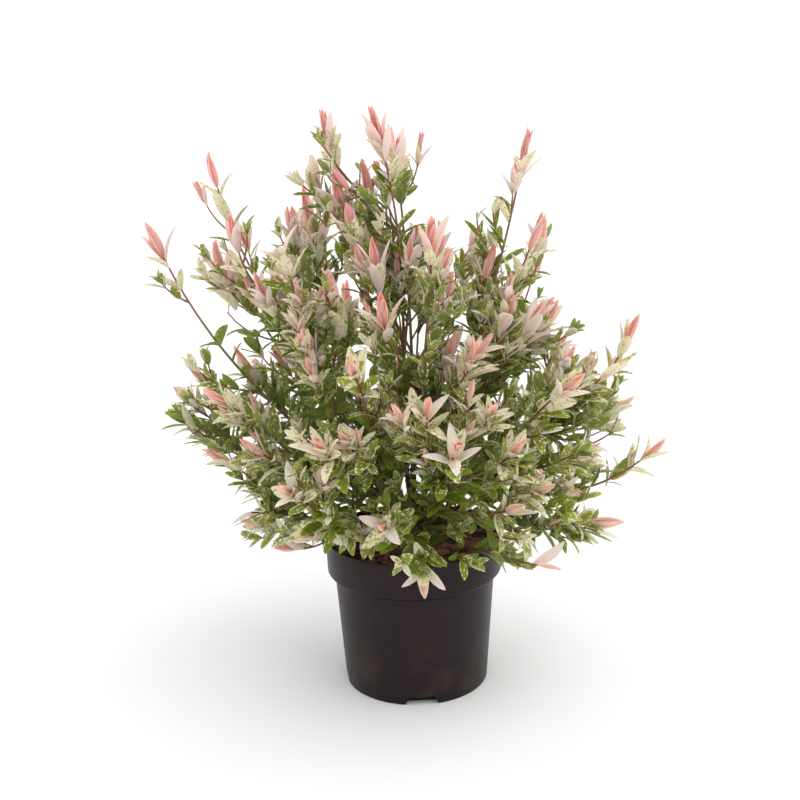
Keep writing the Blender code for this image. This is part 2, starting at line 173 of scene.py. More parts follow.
class Tier(NamedTuple):
    """Shoots of like habit: the angles are in degrees from the vertical."""

    name: str
    foot_angle: float
    tip_angle: float
    bare_share: float
    tips: tuple  # azimuth in degrees, reach from the axis and height of each shoot's tip


TIERS = (
    Tier("top", 21, 13, 0.24, (
        (166, 0.211, 0.571),
        (-146, 0.036, 0.613),
        (13, 0.132, 0.588),
        (100, 0.060, 0.600),
    )),
    Tier("shoulder", 47, 24, 0.26, (
        (180, 0.264, 0.503),
        (-137, 0.180, 0.525),
        (-79, 0.133, 0.515),
        (-28, 0.150, 0.510),
        (0, 0.238, 0.398),
        (41, 0.200, 0.450),
        (84, 0.170, 0.472),
        (130, 0.190, 0.500),
    )),
    Tier("waist", 71, 52, 0.30, (
        (178, 0.268, 0.312),
        (-150, 0.228, 0.356),
        (-106, 0.208, 0.400),
        (-78, 0.212, 0.325),
        (-44, 0.222, 0.370),
        (-4, 0.268, 0.266),
        (46, 0.262, 0.320),
        (92, 0.250, 0.330),
        (137, 0.258, 0.325),
    )),
    Tier("spill", 62, 114, 0.42, (
        (-86, 0.152, 0.155),
    )),
    Tier("skirt", 90, 84, 0.42, (
        (-172, 0.207, 0.203),
        (-127, 0.186, 0.215),
        (-45, 0.205, 0.175),
        (-14, 0.222, 0.192),
        (62, 0.222, 0.205),
        (122, 0.225, 0.212),
    )),
)
FORK_TIPS = (  # azimuth in degrees, reach from the axis and height, inside the leaders' tips
    (160, 0.090, 0.611), (131, 0.066, 0.557), (141, 0.143, 0.530), (162, 0.127, 0.513),
    (-115, 0.077, 0.492), (-80, 0.030, 0.482), (12, 0.093, 0.469), (22, 0.159, 0.494),
    (-152, 0.151, 0.469), (-128, 0.126, 0.466), (-101, 0.132, 0.448), (-41, 0.137, 0.439),
    (-20, 0.144, 0.424), (-130, 0.157, 0.416), (-67, 0.163, 0.408), (-26, 0.182, 0.382),
    (-13, 0.220, 0.369), (171, 0.191, 0.368), (-85, 0.191, 0.363), (-65, 0.188, 0.352),
    (-114, 0.219, 0.332), (-110, 0.191, 0.330), (-60, 0.207, 0.317), (-144, 0.203, 0.306),
    (5, 0.240, 0.305), (-28, 0.213, 0.291), (-123, 0.227, 0.283), (-167, 0.221, 0.277),
    (-50, 0.207, 0.267), (-101, 0.173, 0.235), (-10, 0.224, 0.185), (-151, 0.166, 0.180),
    (-174, 0.178, 0.513), (180, 0.072, 0.548), (-153, 0.066, 0.522), (168, 0.100, 0.568),
    (172, 0.204, 0.480), (0, 0.156, 0.413), (-66, 0.109, 0.404), (16, 0.182, 0.374),
    (-6, 0.194, 0.364), (166, 0.255, 0.347), (173, 0.257, 0.326), (8, 0.219, 0.265),
    (-18, 0.191, 0.264), (-57, 0.191, 0.248), (174, 0.191, 0.175),
    (70, 0.110, 0.490), (120, 0.120, 0.520), (35, 0.110, 0.455), (100, 0.150, 0.440),
    (60, 0.160, 0.470), (148, 0.170, 0.420), (30, 0.190, 0.400), (78, 0.200, 0.400),
    (112, 0.205, 0.410), (135, 0.215, 0.350), (62, 0.225, 0.330), (95, 0.215, 0.300),
    (28, 0.225, 0.290), (150, 0.220, 0.280), (75, 0.190, 0.240), (110, 0.200, 0.250),
    (42, 0.205, 0.220), (155, 0.190, 0.220),
)
CAMERA_PLACE = Vector((0, -1.2158, 0.6168))
SKY_GAPS = (  # aside and height where the camera sees sky on the axis's upright plane, and radius
    (0.125, 0.515, 0.016), (0.095, 0.555, 0.012), (0.070, 0.525, 0.018), (0.095, 0.575, 0.010),
    (0.025, 0.540, 0.010), (-0.010, 0.600, 0.007), (-0.010, 0.505, 0.008), (-0.055, 0.545, 0.006),
    (-0.095, 0.575, 0.008), (-0.120, 0.525, 0.005), (-0.145, 0.500, 0.010), (-0.210, 0.505, 0.015),
    (-0.235, 0.470, 0.009), (-0.165, 0.465, 0.005), (-0.205, 0.415, 0.016), (-0.255, 0.425, 0.009),
    (-0.165, 0.400, 0.006), (-0.220, 0.390, 0.008), (-0.235, 0.375, 0.006), (-0.200, 0.360, 0.005),
    (-0.185, 0.350, 0.005), (-0.220, 0.235, 0.009), (-0.205, 0.210, 0.012), (-0.190, 0.195, 0.006),
    (-0.105, 0.115, 0.009), (0.140, 0.110, 0.008), (0.140, 0.150, 0.006), (0.210, 0.190, 0.012),
    (0.240, 0.210, 0.015), (0.195, 0.265, 0.006), (0.225, 0.320, 0.005), (0.200, 0.345, 0.005),
    (0.185, 0.370, 0.005), (0.245, 0.385, 0.008), (0.125, 0.420, 0.006), (0.155, 0.450, 0.012),
    (0.155, 0.480, 0.008), (0.110, 0.485, 0.006), (0.055, 0.485, 0.008), (0.005, 0.375, 0.012),
    (0.000, 0.395, 0.009), (-0.130, 0.130, 0.012), (0.120, 0.110, 0.008),
)
GREEN_TIPS = ((178, 0.268, 0.312),)  # leaders that end without a coral bud
UPRIGHT_HEIGHT = 0.50  # at which a fork's tip stands nearly upright
LEVEL_HEIGHT = 0.18  # at which it leans out nearly level
TIP_ANGLES = (math.radians(12), math.radians(78))
PINK_TWIGS = (0.10, 0.42)  # share of side twigs that end in a coral bud, low and high
TINT_BY_HEIGHT = 8.0  # the tips pale from coral to peach downwards and to the right
TINT_BY_SIDE = 2.0

# Pot, beyond what its solid gives
RIM_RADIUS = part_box("pot")[1].x
POT_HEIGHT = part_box("pot")[1].z
LIP_HEIGHT = 0.0385
LIP_FOOT_RADIUS = 0.0939
BODY_TOP_RADIUS = 0.0862
BODY_FOOT_RADIUS = 0.0775
POT_FLOOR = 0.0026
LIP_ROUNDING = 0.003
FOOT_ROUNDING = 0.0014
POT_STEPS = 128
NOTCH_COUNT = 4
NOTCH_AZIMUTH = math.radians(-86.5)
NOTCH_MOUTH = 0.045
NOTCH_TOP = 0.026
NOTCH_HEIGHT = 0.0095
NOTCH_DEPTH = 0.011
LEDGE_HEIGHT = 0.0105  # of the solid ring inside the foot, behind the notches
LEDGE_WALL = 0.002
BEAD_DROP = 0.0034  # of the moulding line below the lip
BEAD_SIZE = 0.0005
BARK_SAG = 0.003

# Angles between faces above which an edge is drawn sharp
SHARP_POT = math.radians(35)
SHARP_CHIP = math.radians(30)
SHARP_STUMP = math.radians(60)
SHARP_WOOD = math.radians(70)
SHARP_LEAF = math.radians(75)

PATTERN_COLUMNS = 4
PATTERN_ROWS = 8  # the lower half of them is for the undersides


def length_setting(name, description, default):
    return FloatProperty(name=name, description=description, default=default, unit="LENGTH")


def colour_setting(name, description, default):
    return FloatVectorProperty(
        name=name, description=description, default=default, subtype="COLOR"
    )


class PotSettings(bpy.types.PropertyGroup):
    wall: length_setting("Wall", "Thickness of the pot's wall", 0.0018)
    plastic: colour_setting("Plastic", "Colour of the pot's plastic", (0.0150, 0.0090, 0.0105))
    dust: colour_setting("Dust", "Colour of the dry soil low on the pot", (0.17, 0.115, 0.08))


class BarkSettings(bpy.types.PropertyGroup):
    chips: IntProperty(name="Chips", description="Number of bark chips", default=700, min=1)
    chip_length: length_setting("Chip length", "Length of a middling chip", 0.0135)
    dark: colour_setting("Dark bark", "Colour of the darkest chips", (0.075, 0.034, 0.024))
    light: colour_setting("Light bark", "Colour of the lightest chips", (0.60, 0.29, 0.20))


class StemSettings(bpy.types.PropertyGroup):
    bough_radius: length_setting("Bough radius", "Radius of a bough at the stump", 0.0025)
    tip_radius: length_setting("Tip radius", "Radius of a shoot just below its tip", 0.0009)
    old_wood: colour_setting("Old wood", "Colour of the boughs", (0.105, 0.052, 0.036))
    green_wood: colour_setting("Green wood", "Colour of twigs halfway along", (0.20, 0.13, 0.05))
    red_wood: colour_setting("Red wood", "Colour of twigs below their tips", (0.26, 0.052, 0.048))


class LeafSettings(bpy.types.PropertyGroup):
    size: FloatProperty(
        name="Size", description="Size of every leaf against the middling one",
        default=1.0, subtype="FACTOR", min=0.5, max=1.5,
    )
    green: colour_setting("Green", "Colour of the older leaves", (0.135, 0.185, 0.022))
    cream: colour_setting("Cream", "Colour of the leaves' pale parts", (0.80, 0.74, 0.47))
    blush: colour_setting("Blush", "Colour of the leaves round the buds", (0.92, 0.64, 0.57))
    coral: colour_setting("Coral", "Colour of the closed leaves at the tips", (0.92, 0.26, 0.245))


class StageSettings(bpy.types.PropertyGroup):
    lens: FloatProperty(
        name="Lens", description="Focal length in millimetres on a 36 mm sensor", default=53.8
    )
    floor: colour_setting("Floor", "Colour of the floor", (0.93, 0.95, 0.985))
    key_strength: FloatProperty(
        name="Key light", description="Strength of the main light", default=0.95, min=0
    )


# Shapes that are repeated


class Shape(NamedTuple):
    """A small mesh to be copied: points, the faces' corners, and each corner's pattern place."""

    points: np.ndarray
    corners: np.ndarray
    sizes: np.ndarray
    pattern: np.ndarray


class Bunch:
    """Copies of small shapes, gathered into one mesh."""

    def __init__(self):
        self.points = []
        self.corners = []
        self.sizes = []
        self.pattern = []
        self.count = 0

    def add(self, shape, points, pattern):
        self.points.append(points)
        self.corners.append(shape.corners + self.count)
        self.sizes.append(shape.sizes)
        self.pattern.append(pattern)
        self.count += len(points)

    def mesh(self, name, sharp_angle):
        corners = np.concatenate(self.corners)
        sizes = np.concatenate(self.sizes)
        mesh = bpy.data.meshes.new(name)
        mesh.vertices.add(self.count)
        mesh.vertices.foreach_set("co", np.concatenate(self.points).ravel())
        mesh.loops.add(len(corners))
        mesh.loops.foreach_set("vertex_index", corners)
        mesh.polygons.add(len(sizes))
        mesh.polygons.foreach_set("loop_start", np.concatenate(([0], np.cumsum(sizes)[:-1])))
        mesh.update(calc_edges=True)
        layer = mesh.uv_layers.new(name=PATTERN_MAP)
        layer.data.foreach_set("uv", np.concatenate(self.pattern).ravel())
        mesh.shade_smooth()
        mesh.set_sharp_from_angle(angle=sharp_angle)
        return mesh


def shape_of(bm, places):
    """The shape in a bmesh, whose pattern places are given by a function of face and vertex."""
    bm.verts.index_update()
    corners = [(face, vert) for face in bm.faces for vert in face.verts]
    shape = Shape(
        np.array([tuple(v.co) for v in bm.verts]),
        np.array([vert.index for face, vert in corners]),
        np.array([len(face.verts) for face in bm.faces]),
        np.array([places(face, vert) for face, vert in corners]),
    )
    bm.free()
    return shape


def cell_pattern(shape, column, row):
    """A shape's pattern places, moved into one cell of the grid that its material reads."""
    return (shape.pattern + (column, row)) / (PATTERN_COLUMNS, PATTERN_ROWS)


def put(name, mesh, material, slot, *replaced):
    """A finished piece of the shrub, which stands for the named solids."""
    made = bpy.data.objects.new(name, mesh)
    bpy.context.scene.collection.objects.link(made)
    mesh.materials.clear()
    mesh.materials.append(material)
    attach(made, "root")
    if replaced:
        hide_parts(*replaced)
    return made


def solid_names(start, *tiers):
    """The names of the solids that begin with this word, of all tiers or of those given."""
    wanted = [f"{start}_{tier}_" for tier in tiers] or [f"{start}_"]
    return sorted(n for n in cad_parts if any(n.startswith(w) for w in wanted))


# Leaves


BLADE_RINGS = 7
CELL_EDGE = 0.06  # share of a pattern cell kept free round a leaf


def blade(narrow, arch, fold, twist, blunt=0.62, early=0.92, thick=0.016):
    """A closed thin leaf of unit length along +Y with its upper side up: a ball drawn out flat.

    narrow is its width, arch how far its tip sinks, fold the rise of its edges and twist a turn
    of its tip. blunt and early set the outline: how full it is, and how near the root.
    """
    bm = bmesh.new()
    bmesh.ops.create_uvsphere(bm, u_segments=4, v_segments=BLADE_RINGS, radius=1)
    on_pattern = {}
    upper = {}
    for vert in bm.verts:
        x, y, z = vert.co
        along = (z + 1) / 2
        ring = math.hypot(x, y)
        side = round(x / ring) if ring > 0.01 else 0
        above = round(y / ring) if ring > 0.01 else 0
        full = math.sin(math.pi * along**early) ** blunt if 0 < along < 1 else 0
        across = side * full * narrow / 2
        rise = above * thick * full / 2 + abs(side) * fold * full * narrow / 2
        turn = twist * along
        vert.co = (
            across * math.cos(turn) - rise * math.sin(turn),
            along * (1 - abs(arch) * 0.25 * along),
            across * math.sin(turn) + rise * math.cos(turn) - arch * along * along,
        )
        room = 1 - 2 * CELL_EDGE
        on_pattern[vert] = (0.5 + side * full * room / 2, CELL_EDGE + along * room)
        upper[vert] = above
    bmesh.ops.recalc_face_normals(bm, faces=bm.faces)

    def places(face, vert):
        u, v = on_pattern[vert]
        below = any(upper[other] < 0 for other in face.verts)
        return (u, v - (PATTERN_ROWS / 2 if below else 0))

    return shape_of(bm, places)


LEAF_KINDS = {
    "green": dict(narrow=0.37, blunt=0.53, early=0.95),
    "dappled": dict(narrow=0.37, blunt=0.55, early=0.96),
    "pale": dict(narrow=0.33, blunt=0.60, early=0.96),
    "blush": dict(narrow=0.27, blunt=0.66, early=0.98),
    "coral": dict(narrow=0.25, blunt=0.72, early=0.9, thick=0.03),
}
LEAF_BENDS = {  # arch, fold and twist of the shapes that a kind of leaf comes in
    "green": ((0.12, 0.30, 0.15), (0.24, 0.36, -0.3), (0.04, 0.22, 0.35), (0.34, 0.42, 0.1)),
    "dappled": ((0.10, 0.26, 0.2), (0.20, 0.34, -0.25), (0.02, 0.2, 0.3), (0.30, 0.4, -0.1)),
    "pale": ((0.14, 0.24, 0.2), (0.28, 0.34, -0.25), (0.05, 0.2, 0.3), (0.38, 0.4, -0.1)),
    "blush": ((0.14, 0.26, 0.2), (0.26, 0.34, -0.3), (0.04, 0.22, 0.35), (0.36, 0.38, -0.1)),
    "coral": ((-0.05, 0.62, 0.1), (-0.09, 0.75, -0.15), (-0.02, 0.55, 0.25), (0.02, 0.6, -0.2)),
}


@functools.cache
def blades(kind):
    return [
        blade(arch=arch, fold=fold, twist=twist, **LEAF_KINDS[kind])
        for arch, fold, twist in LEAF_BENDS[kind]
    ]


def outward(azimuth, angle):
    """The unit vector at this azimuth and angle from the vertical."""
    side = math.sin(angle)
    return Vector((side * math.cos(azimuth), side * math.sin(azimuth), math.cos(angle)))


def across_of(direction, spin):
    """A unit vector square to a direction, turned about it by an angle."""
    aside = Vector((1, 0, 0)) if abs(direction.z) > STEEP else UP
    return Quaternion(direction, spin) @ direction.cross(aside).normalized()


def polar(azimuth, reach, height):
    """The place at this azimuth, reach from the axis and height."""
    return Vector((reach * math.cos(azimuth), reach * math.sin(azimuth), height))


class Curve:
    """A cubic curve between two points that leaves and arrives in given directions."""

    def __init__(self, foot, foot_direction, tip, tip_direction, sideways=Vector()):
        span = (tip - foot).length * CURVE_PULL
        self.points = (
            foot,
            foot + foot_direction * span + sideways,
            tip - tip_direction * span - sideways,
            tip,
        )

    def at(self, t):
        weights = ((1 - t) ** 3, 3 * t * (1 - t) ** 2, 3 * t * t * (1 - t), t**3)
        return sum((p * w for p, w in zip(self.points, weights)), Vector())

    def heading(self, t):
        a, b, c, d = self.points
        slope = (b - a) * (1 - t) ** 2 + (c - b) * 2 * t * (1 - t) + (d - c) * t * t
        return slope.normalized()

    def probes(self, shares):
        """Points along the curve at these shares of it, one to a row."""
        return np.array([tuple(self.at(t)) for t in shares])

    def length(self, first=0, last=1, pieces=12):
        points = [self.at(first + (last - first) * i / pieces) for i in range(pieces + 1)]
        return sum((b - a).length for a, b in zip(points, points[1:]))


class Stem(NamedTuple):
    """A stretch of a curve that is to be wood, and how young it is at both ends, from 0 to 1."""

    curve: Curve
    first: float
    last: float
    foot_radius: float
    end_radius: float
    foot_youth: float
    end_youth: float


class Leaf(NamedTuple):
    shape: Shape
    pattern: np.ndarray
    points: np.ndarray


class Shoot:
    """One stem from the stump to its tip: its curve, and where its bough gives way to leaves."""

    def __init__(self, tier, number, foot_azimuth, chance):
        azimuth, reach, height = tier.tips[number]
        azimuth = math.radians(azimuth)
        head = Vector((0, 0, BARK_TOP + STUMP_HEAD_RISE))
        leave = outward(foot_azimuth, math.radians(tier.foot_angle))
        arrive = outward(azimuth, math.radians(tier.tip_angle))
        tip = polar(azimuth, reach, height) - arrive * tuft_length(height)
        foot = head + leave * (STUMP_HEAD_RADIUS + GAP)
        bend = (tip - foot).length * chance.uniform(-WANDER, WANDER)
        sideways = arrive.cross(UP).normalized() * bend
        self.curve = Curve(foot, leave, tip, arrive, sideways)
        self.bare_share = tier.bare_share
        self.green_tip = tier.tips[number] in GREEN_TIPS


def all_shoots(chance):
    """Every tier's shoots, whose feet stand evenly round the stump in the order of their tips."""
    found = []
    for tier in TIERS:
        order = sorted(range(len(tier.tips)), key=lambda i: tier.tips[i][0] % 360)
        middle = sum(tier.tips[i][0] % 360 for i in order) / len(order)
        for place, number in enumerate(order):
            even = middle + 360 * (place - (len(order) - 1) / 2) / len(order)
            found.append(Shoot(tier, number, math.radians(even), chance))
    return found


def within_reach(points):
    """Whether every point is clear of the pot and inside the reach of the solids."""
    if (points < np.array(SOLID_LOW) - REACH_MARGIN).any():
        return False
    if (points > np.array(SOLID_HIGH) + REACH_MARGIN).any():
        return False
    radius = np.hypot(points[:, 0], points[:, 1])
    low = points[:, 2] < POT_HEIGHT + POT_MARGIN
    return not (low & (radius < RIM_RADIUS + POT_MARGIN)).any()


def in_sky(points):
    """Whether any of these points hides a gap through which the photograph shows sky."""
    nearer = -CAMERA_PLACE.y / (points[:, 1] - CAMERA_PLACE.y)
    aside = CAMERA_PLACE.x + (points[:, 0] - CAMERA_PLACE.x) * nearer
    height = CAMERA_PLACE.z + (points[:, 2] - CAMERA_PLACE.z) * nearer
    gaps = np.array(SKY_GAPS)
    away = np.hypot(aside[:, None] - gaps[:, 0], height[:, None] - gaps[:, 1])
    return (away < gaps[:, 2]).any()


def tuft_length(height):
    """How far the closed leaves of a rosette at this height reach beyond their stem."""
    return BUD_LENGTHS[0] * between(ROSETTE_GROWTH, crown_level(height))


def crown_level(height):
    """How high a place is in the crown, from 0 to 1."""
    return min(1, max(0, (height - LOW_CROWN) / (HIGH_CROWN - LOW_CROWN)))


def between(pair, share):
    """The value at this share of the way from the first of a pair to the second."""
    first, last = pair
    return first + (last - first) * share


def tint_at(place):
    """The tint of the leaves about a tip: 0 for the most coral to 3 for the most peach."""
    tint = (SOLID_HIGH.z - place.z) * TINT_BY_HEIGHT + place.x * TINT_BY_SIDE
    return min(PATTERN_COLUMNS - 1, max(0, round(tint)))


class Crown:
    """All twigs and leaves, grown shoot by shoot."""

    def __init__(self, stems, leaf_size):
        self.bough_radius = stems.bough_radius
        self.tip_radius = stems.tip_radius
        self.leaf_size = leaf_size
        self.boughs = []
        self.twigs = []
        self.leaves = {kind: [] for kind in LEAF_KINDS}
        self.shoots = all_shoots(random.Random(SEED))
        for number, shoot in enumerate(self.shoots):
            self.chance = random.Random(SEED + number)
            self.grow(shoot)
        for number, tip in enumerate(FORK_TIPS):
            self.chance = random.Random(SEED + FORK_SEED + number)
            self.fork(*tip)

    def grow(self, shoot):
        """A leader with its bough and tip, the source's twigs, finer ones, and leaves."""
        curve, bare = shoot.curve, shoot.bare_share
        leafy = 1 - bare
        length = curve.length(bare, 1)
        fork_radius = self.bough_radius * BOUGH_TAPER
        self.tint = tint_at(curve.at(1))
        self.spin = self.chance.uniform(0, math.tau)
        lapped = bare + BOUGH_LAP
        self.boughs.append(Stem(curve, 0, lapped, self.bough_radius, fork_radius, 0, BOUGH_YOUTH))
        self.twigs.append(Stem(curve, bare, 1, fork_radius, self.tip_radius, BOUGH_YOUTH, 1))
        end = self.plain_tip if shoot.green_tip else self.rosette
        end(curve.at(1), curve.heading(1), 1)

        def side_twig(start, size, angle):
            reach = TWIG_LENGTH * (1 - TWIG_SHORTENING * start) * length * size
            self.twig(curve, bare + leafy * start, reach, angle)

        for start in TWIG_STARTS:
            side_twig(start, SOURCE_TWIG_SIZE, TWIG_ANGLE)
        count = max(2, round(length / FINE_TWIG_STEP))
        for i in range(count):
            size = self.chance.uniform(*FINE_TWIG_SIZES)
            side_twig((i + 0.5) / count * FINE_TWIG_END, size, FINE_TWIG_ANGLE)
        low = round(curve.length(0, bare) * (1 - LOW_TWIG_FIRST) / LOW_TWIG_STEP)
        for i in range(low):
            share = LOW_TWIG_FIRST + (1 - LOW_TWIG_FIRST) * (i + 0.5) / low
            self.twig(curve, bare * share, self.chance.uniform(*LOW_TWIG_LENGTHS), TWIG_ANGLE)
        self.clothe(curve, bare, length, LEADER_STEP, LEADER_LEAF, LEADER_FADE)

    def fork(self, azimuth, reach, height):
        """A long branch from low on a leader to a tip inside the crown, with twigs of its own."""
        azimuth = math.radians(azimuth)
        level = (UPRIGHT_HEIGHT - height) / (UPRIGHT_HEIGHT - LEVEL_HEIGHT)
        arrive = outward(azimuth, between(TIP_ANGLES, min(1, max(0, level))))
        tip = polar(azimuth, reach, height)
        self.tint = tint_at(tip)
        size = self.chance.uniform(*FORK_SIZES)
        tip -= arrive * tuft_length(height) * size
        curve = self.fork_curve(tip, arrive)
        self.spin = self.chance.uniform(0, math.tau)
        thickness = self.bough_radius * FORK_THICKNESS
        self.twigs.append(Stem(curve, 0, 1, thickness, self.tip_radius, FORK_YOUTH, 1))
        self.rosette(tip, curve.heading(1), size)
        length = curve.length()
        for share in self.nodes(length, FORK_TWIG_STEP):
            size = (1 - TWIG_SHORTENING * share) * self.chance.uniform(*FORK_TWIG_LENGTHS)
            self.twig(curve, share, size, FINE_TWIG_ANGLE)
        self.clothe(curve, 0, length, LEADER_STEP, LEADER_LEAF, FORK_FADE)

    def fork_curve(self, tip, arrive):
        """The most direct way to this tip from a leader that stays clear of the pot."""
        best = None
        first, last = FORK_FEET
        for shoot in self.shoots:
            for i in range(FORK_TRIES):
                t = first + (last - first) * i / (FORK_TRIES - 1)
                foot, heading = shoot.curve.at(t), shoot.curve.heading(t)
                way = tip - foot
                cost = way.length * (2 - way.normalized().dot(heading))
                if way.length < FORK_LEAST or best and cost > best[0]:
                    continue
                leave = heading.lerp(way.normalized(), 0.5).normalized()
                curve = Curve(foot, leave, tip, arrive)
                if within_reach(curve.probes(FORK_PROBES)):
                    best = (cost, curve)
        return best[1]

    @staticmethod
    def nodes(length, step):
        """Where along a stem of this length its pairs of leaves or its twigs stand."""
        count = max(1, round(length / step))
        return [(i + 0.5) / count for i in range(count)]

    def twig(self, leader, t, reach, angle):
        """A side twig that leaves the leader and bends up beside it, with its own leaves."""
        self.spin += GOLDEN_ANGLE
        heading = leader.heading(t)
        side = across_of(heading, self.spin)
        leave = heading * math.cos(angle) + side * math.sin(angle)
        arrive = (heading + UP * TWIG_RISE + side * TWIG_SPREAD).normalized()
        course = leave.lerp(arrive, TWIG_BEND).normalized()
        foot = leader.at(t)
        for share in TWIG_TRIES:
            tip = foot + course * reach * share
            if within_reach(np.array([tuple(tip), tuple(tip + arrive * TWIG_ROOM)])):
                break
        else:
            return
        reach *= share
        curve = Curve(foot, leave, tip, arrive)
        probes = curve.probes(TWIG_PROBES)
        if in_sky(probes) or not within_reach(probes):
            return
        thick, thin = (self.tip_radius * share for share in TWIG_RADII)
        self.twigs.append(Stem(curve, 0, 1, thick, thin, TWIG_YOUTH, 1))
        if self.chance.random() < between(PINK_TWIGS, crown_level(tip.z)):
            end, (least, most) = self.rosette, ROSETTE_RANGE
        else:
            end, (least, most) = self.plain_tip, PLAIN_RANGE
        end(tip, curve.heading(1), min(most, least + TIP_GROWTH * reach))
        self.clothe(curve, 0, reach, TWIG_STEP, TWIG_LEAF, TWIG_FADE)

    def clothe(self, curve, bare, length, step, leaf_length, fade):
        """Pairs of leaves all along a stem, from where it is no longer bare."""
        for along in self.nodes(length, step):
            t = bare + (1 - bare) * along
            self.pair(curve, t, (1 - along) * length, leaf_length, fade)

    def pair(self, curve, t, left, length, fade):
        """Two leaves across a stem from each other, paler towards the stem's tip."""
        self.spin += math.pi / 2 + self.chance.uniform(-TURN_WANDER, TURN_WANDER)
        place = curve.at(t)
        youth = max(0.0, 1 - left / fade) + self.chance.uniform(-YOUTH_WANDER, YOUTH_WANDER)
        youth += UPPER_PALENESS * crown_level(place.z)
        kind = "pale" if youth > PALE_YOUTH else "dappled" if youth > DAPPLED_YOUTH else "green"
        far = min(1, left / FAR_LEAVES)
        for turn in (0, math.pi):
            share = self.chance.random()
            spread = between((between(NEAR_SPREAD, share), between(FAR_SPREAD, share)), far)
            size = length * self.chance.uniform(*PAIR_SIZES)
            self.leaf(kind, place, curve.heading(t), self.spin + turn, spread, size)

    def plain_tip(self, place, heading, size):
        """Two closed leaves and a pair below them, none of them pink."""
        turn = self.chance.uniform(0, math.tau)
        kind = self.chance.choice(PLAIN_KINDS)
        for k, (low, high, longest) in enumerate(PLAIN_PAIRS):
            below = place - heading * PLAIN_DROP * k * size
            for half in (0, math.pi):
                spread = self.chance.uniform(low, high)
                length = longest * size * self.chance.uniform(*PLAIN_SIZES)
                self.leaf(kind, below, heading, turn + half + k * math.pi / 2, spread, length)

    def rosette(self, place, heading, size):
        """The closed coral leaves that end a shoot, and crossed pairs of pale ones below them."""
        turn = self.chance.uniform(0, math.tau)
        level = crown_level(place.z)
        size *= between(ROSETTE_GROWTH, level)
        opening = between((1, CLOSED_SHARE), level)
        for k, length in enumerate(BUD_LENGTHS):
            spread = self.chance.uniform(*BUD_ANGLES)
            angle = turn + math.tau * k / len(BUD_LENGTHS)
            self.leaf("coral", place, heading, angle, spread, length * size, 0)
        for k, (low_kind, high_kind, drop, low, high, longest) in enumerate(ROSETTE_PAIRS):
            kind = high_kind if self.chance.random() < level else low_kind
            if self.chance.random() < MISSING_PAIR:
                continue
            below = place - heading * drop * size
            for half in (0, math.pi):
                spread = self.chance.uniform(low, high) * opening
                angle = turn + PETAL_TURN + k * math.pi / 2 + half
                angle += self.chance.uniform(-PETAL_WANDER, PETAL_WANDER)
                length = longest * size * self.chance.uniform(*PETAL_SIZES)
                self.leaf(kind, below, heading, angle, spread, length, PETAL_SKYWARD)

    def leaf(self, kind, place, heading, spin, spread, length, skyward=SKYWARD):
        """One leaf, at so many degrees from the stem, whose upper side turns to the sky."""
        spread = math.radians(spread)
        side = across_of(heading, spin)
        forward = (heading * math.cos(spread) + side * math.sin(spread)).normalized()
        face = forward.cross(heading.cross(side)) + UP * skyward
        face = (face - forward * face.dot(forward)).normalized()
        across = forward.cross(face)
        shape = self.chance.choice(blades(kind))
        tint = self.tint + self.chance.choice(TINT_STEPS)
        column = min(PATTERN_COLUMNS - 1, max(0, tint))
        row = PATTERN_ROWS // 2 + self.chance.randrange(PATTERN_ROWS // 2)
        length *= self.leaf_size
        width = length * self.chance.uniform(*LEAF_WIDTHS)
        axes = np.array([across * width, forward * length, face * length])
        points = shape.points @ axes + np.array(place)
        if within_reach(points) and not in_sky(points):
            self.leaves[kind].append(Leaf(shape, cell_pattern(shape, column, row), points))


@functools.cache
def crown():
    scene = bpy.context.scene
    return Crown(scene.willow_stems, scene.willow_leaves.size)


# Wood


@functools.cache
def rod(sides, rings):
    """A closed straight rod of unit radius, whose height counts its rings from 0."""
    bm = bmesh.new()
    bmesh.ops.create_cone(
        bm, cap_ends=True, segments=sides, radius1=1, radius2=1, depth=rings - 1
    )
    upright = [e for e in bm.edges if abs(e.verts[0].co.z - e.verts[1].co.z) > 0.5]
    bmesh.ops.subdivide_edges(bm, edges=upright, cuts=rings - 2, use_grid_fill=True)
    bmesh.ops.translate(bm, verts=bm.verts, vec=(0, 0, (rings - 1) / 2))
    bmesh.ops.recalc_face_normals(bm, faces=bm.faces)

    def places(face, vert):
        middle = face.calc_center_median()
        if math.hypot(middle.x, middle.y) < 0.5:
            return (0.5 + vert.co.x * 0.2, round(vert.co.z))
        about = math.atan2(middle.y, middle.x)
        turn = math.atan2(vert.co.y, vert.co.x) - about
        turn = (turn + math.pi) % math.tau - math.pi
        return ((about + turn) / math.tau + 0.5, round(vert.co.z))

    return shape_of(bm, places)


RELIEF_SCALE = 420
BOUGH_SIDES = 14
BOUGH_RINGS = 30
BOUGH_RELIEF = 0.5  # depth of the bark, against the bough's radius
LEADER_RINGS = 16
TWIG_SIDES = 6
TWIG_RINGS = 8


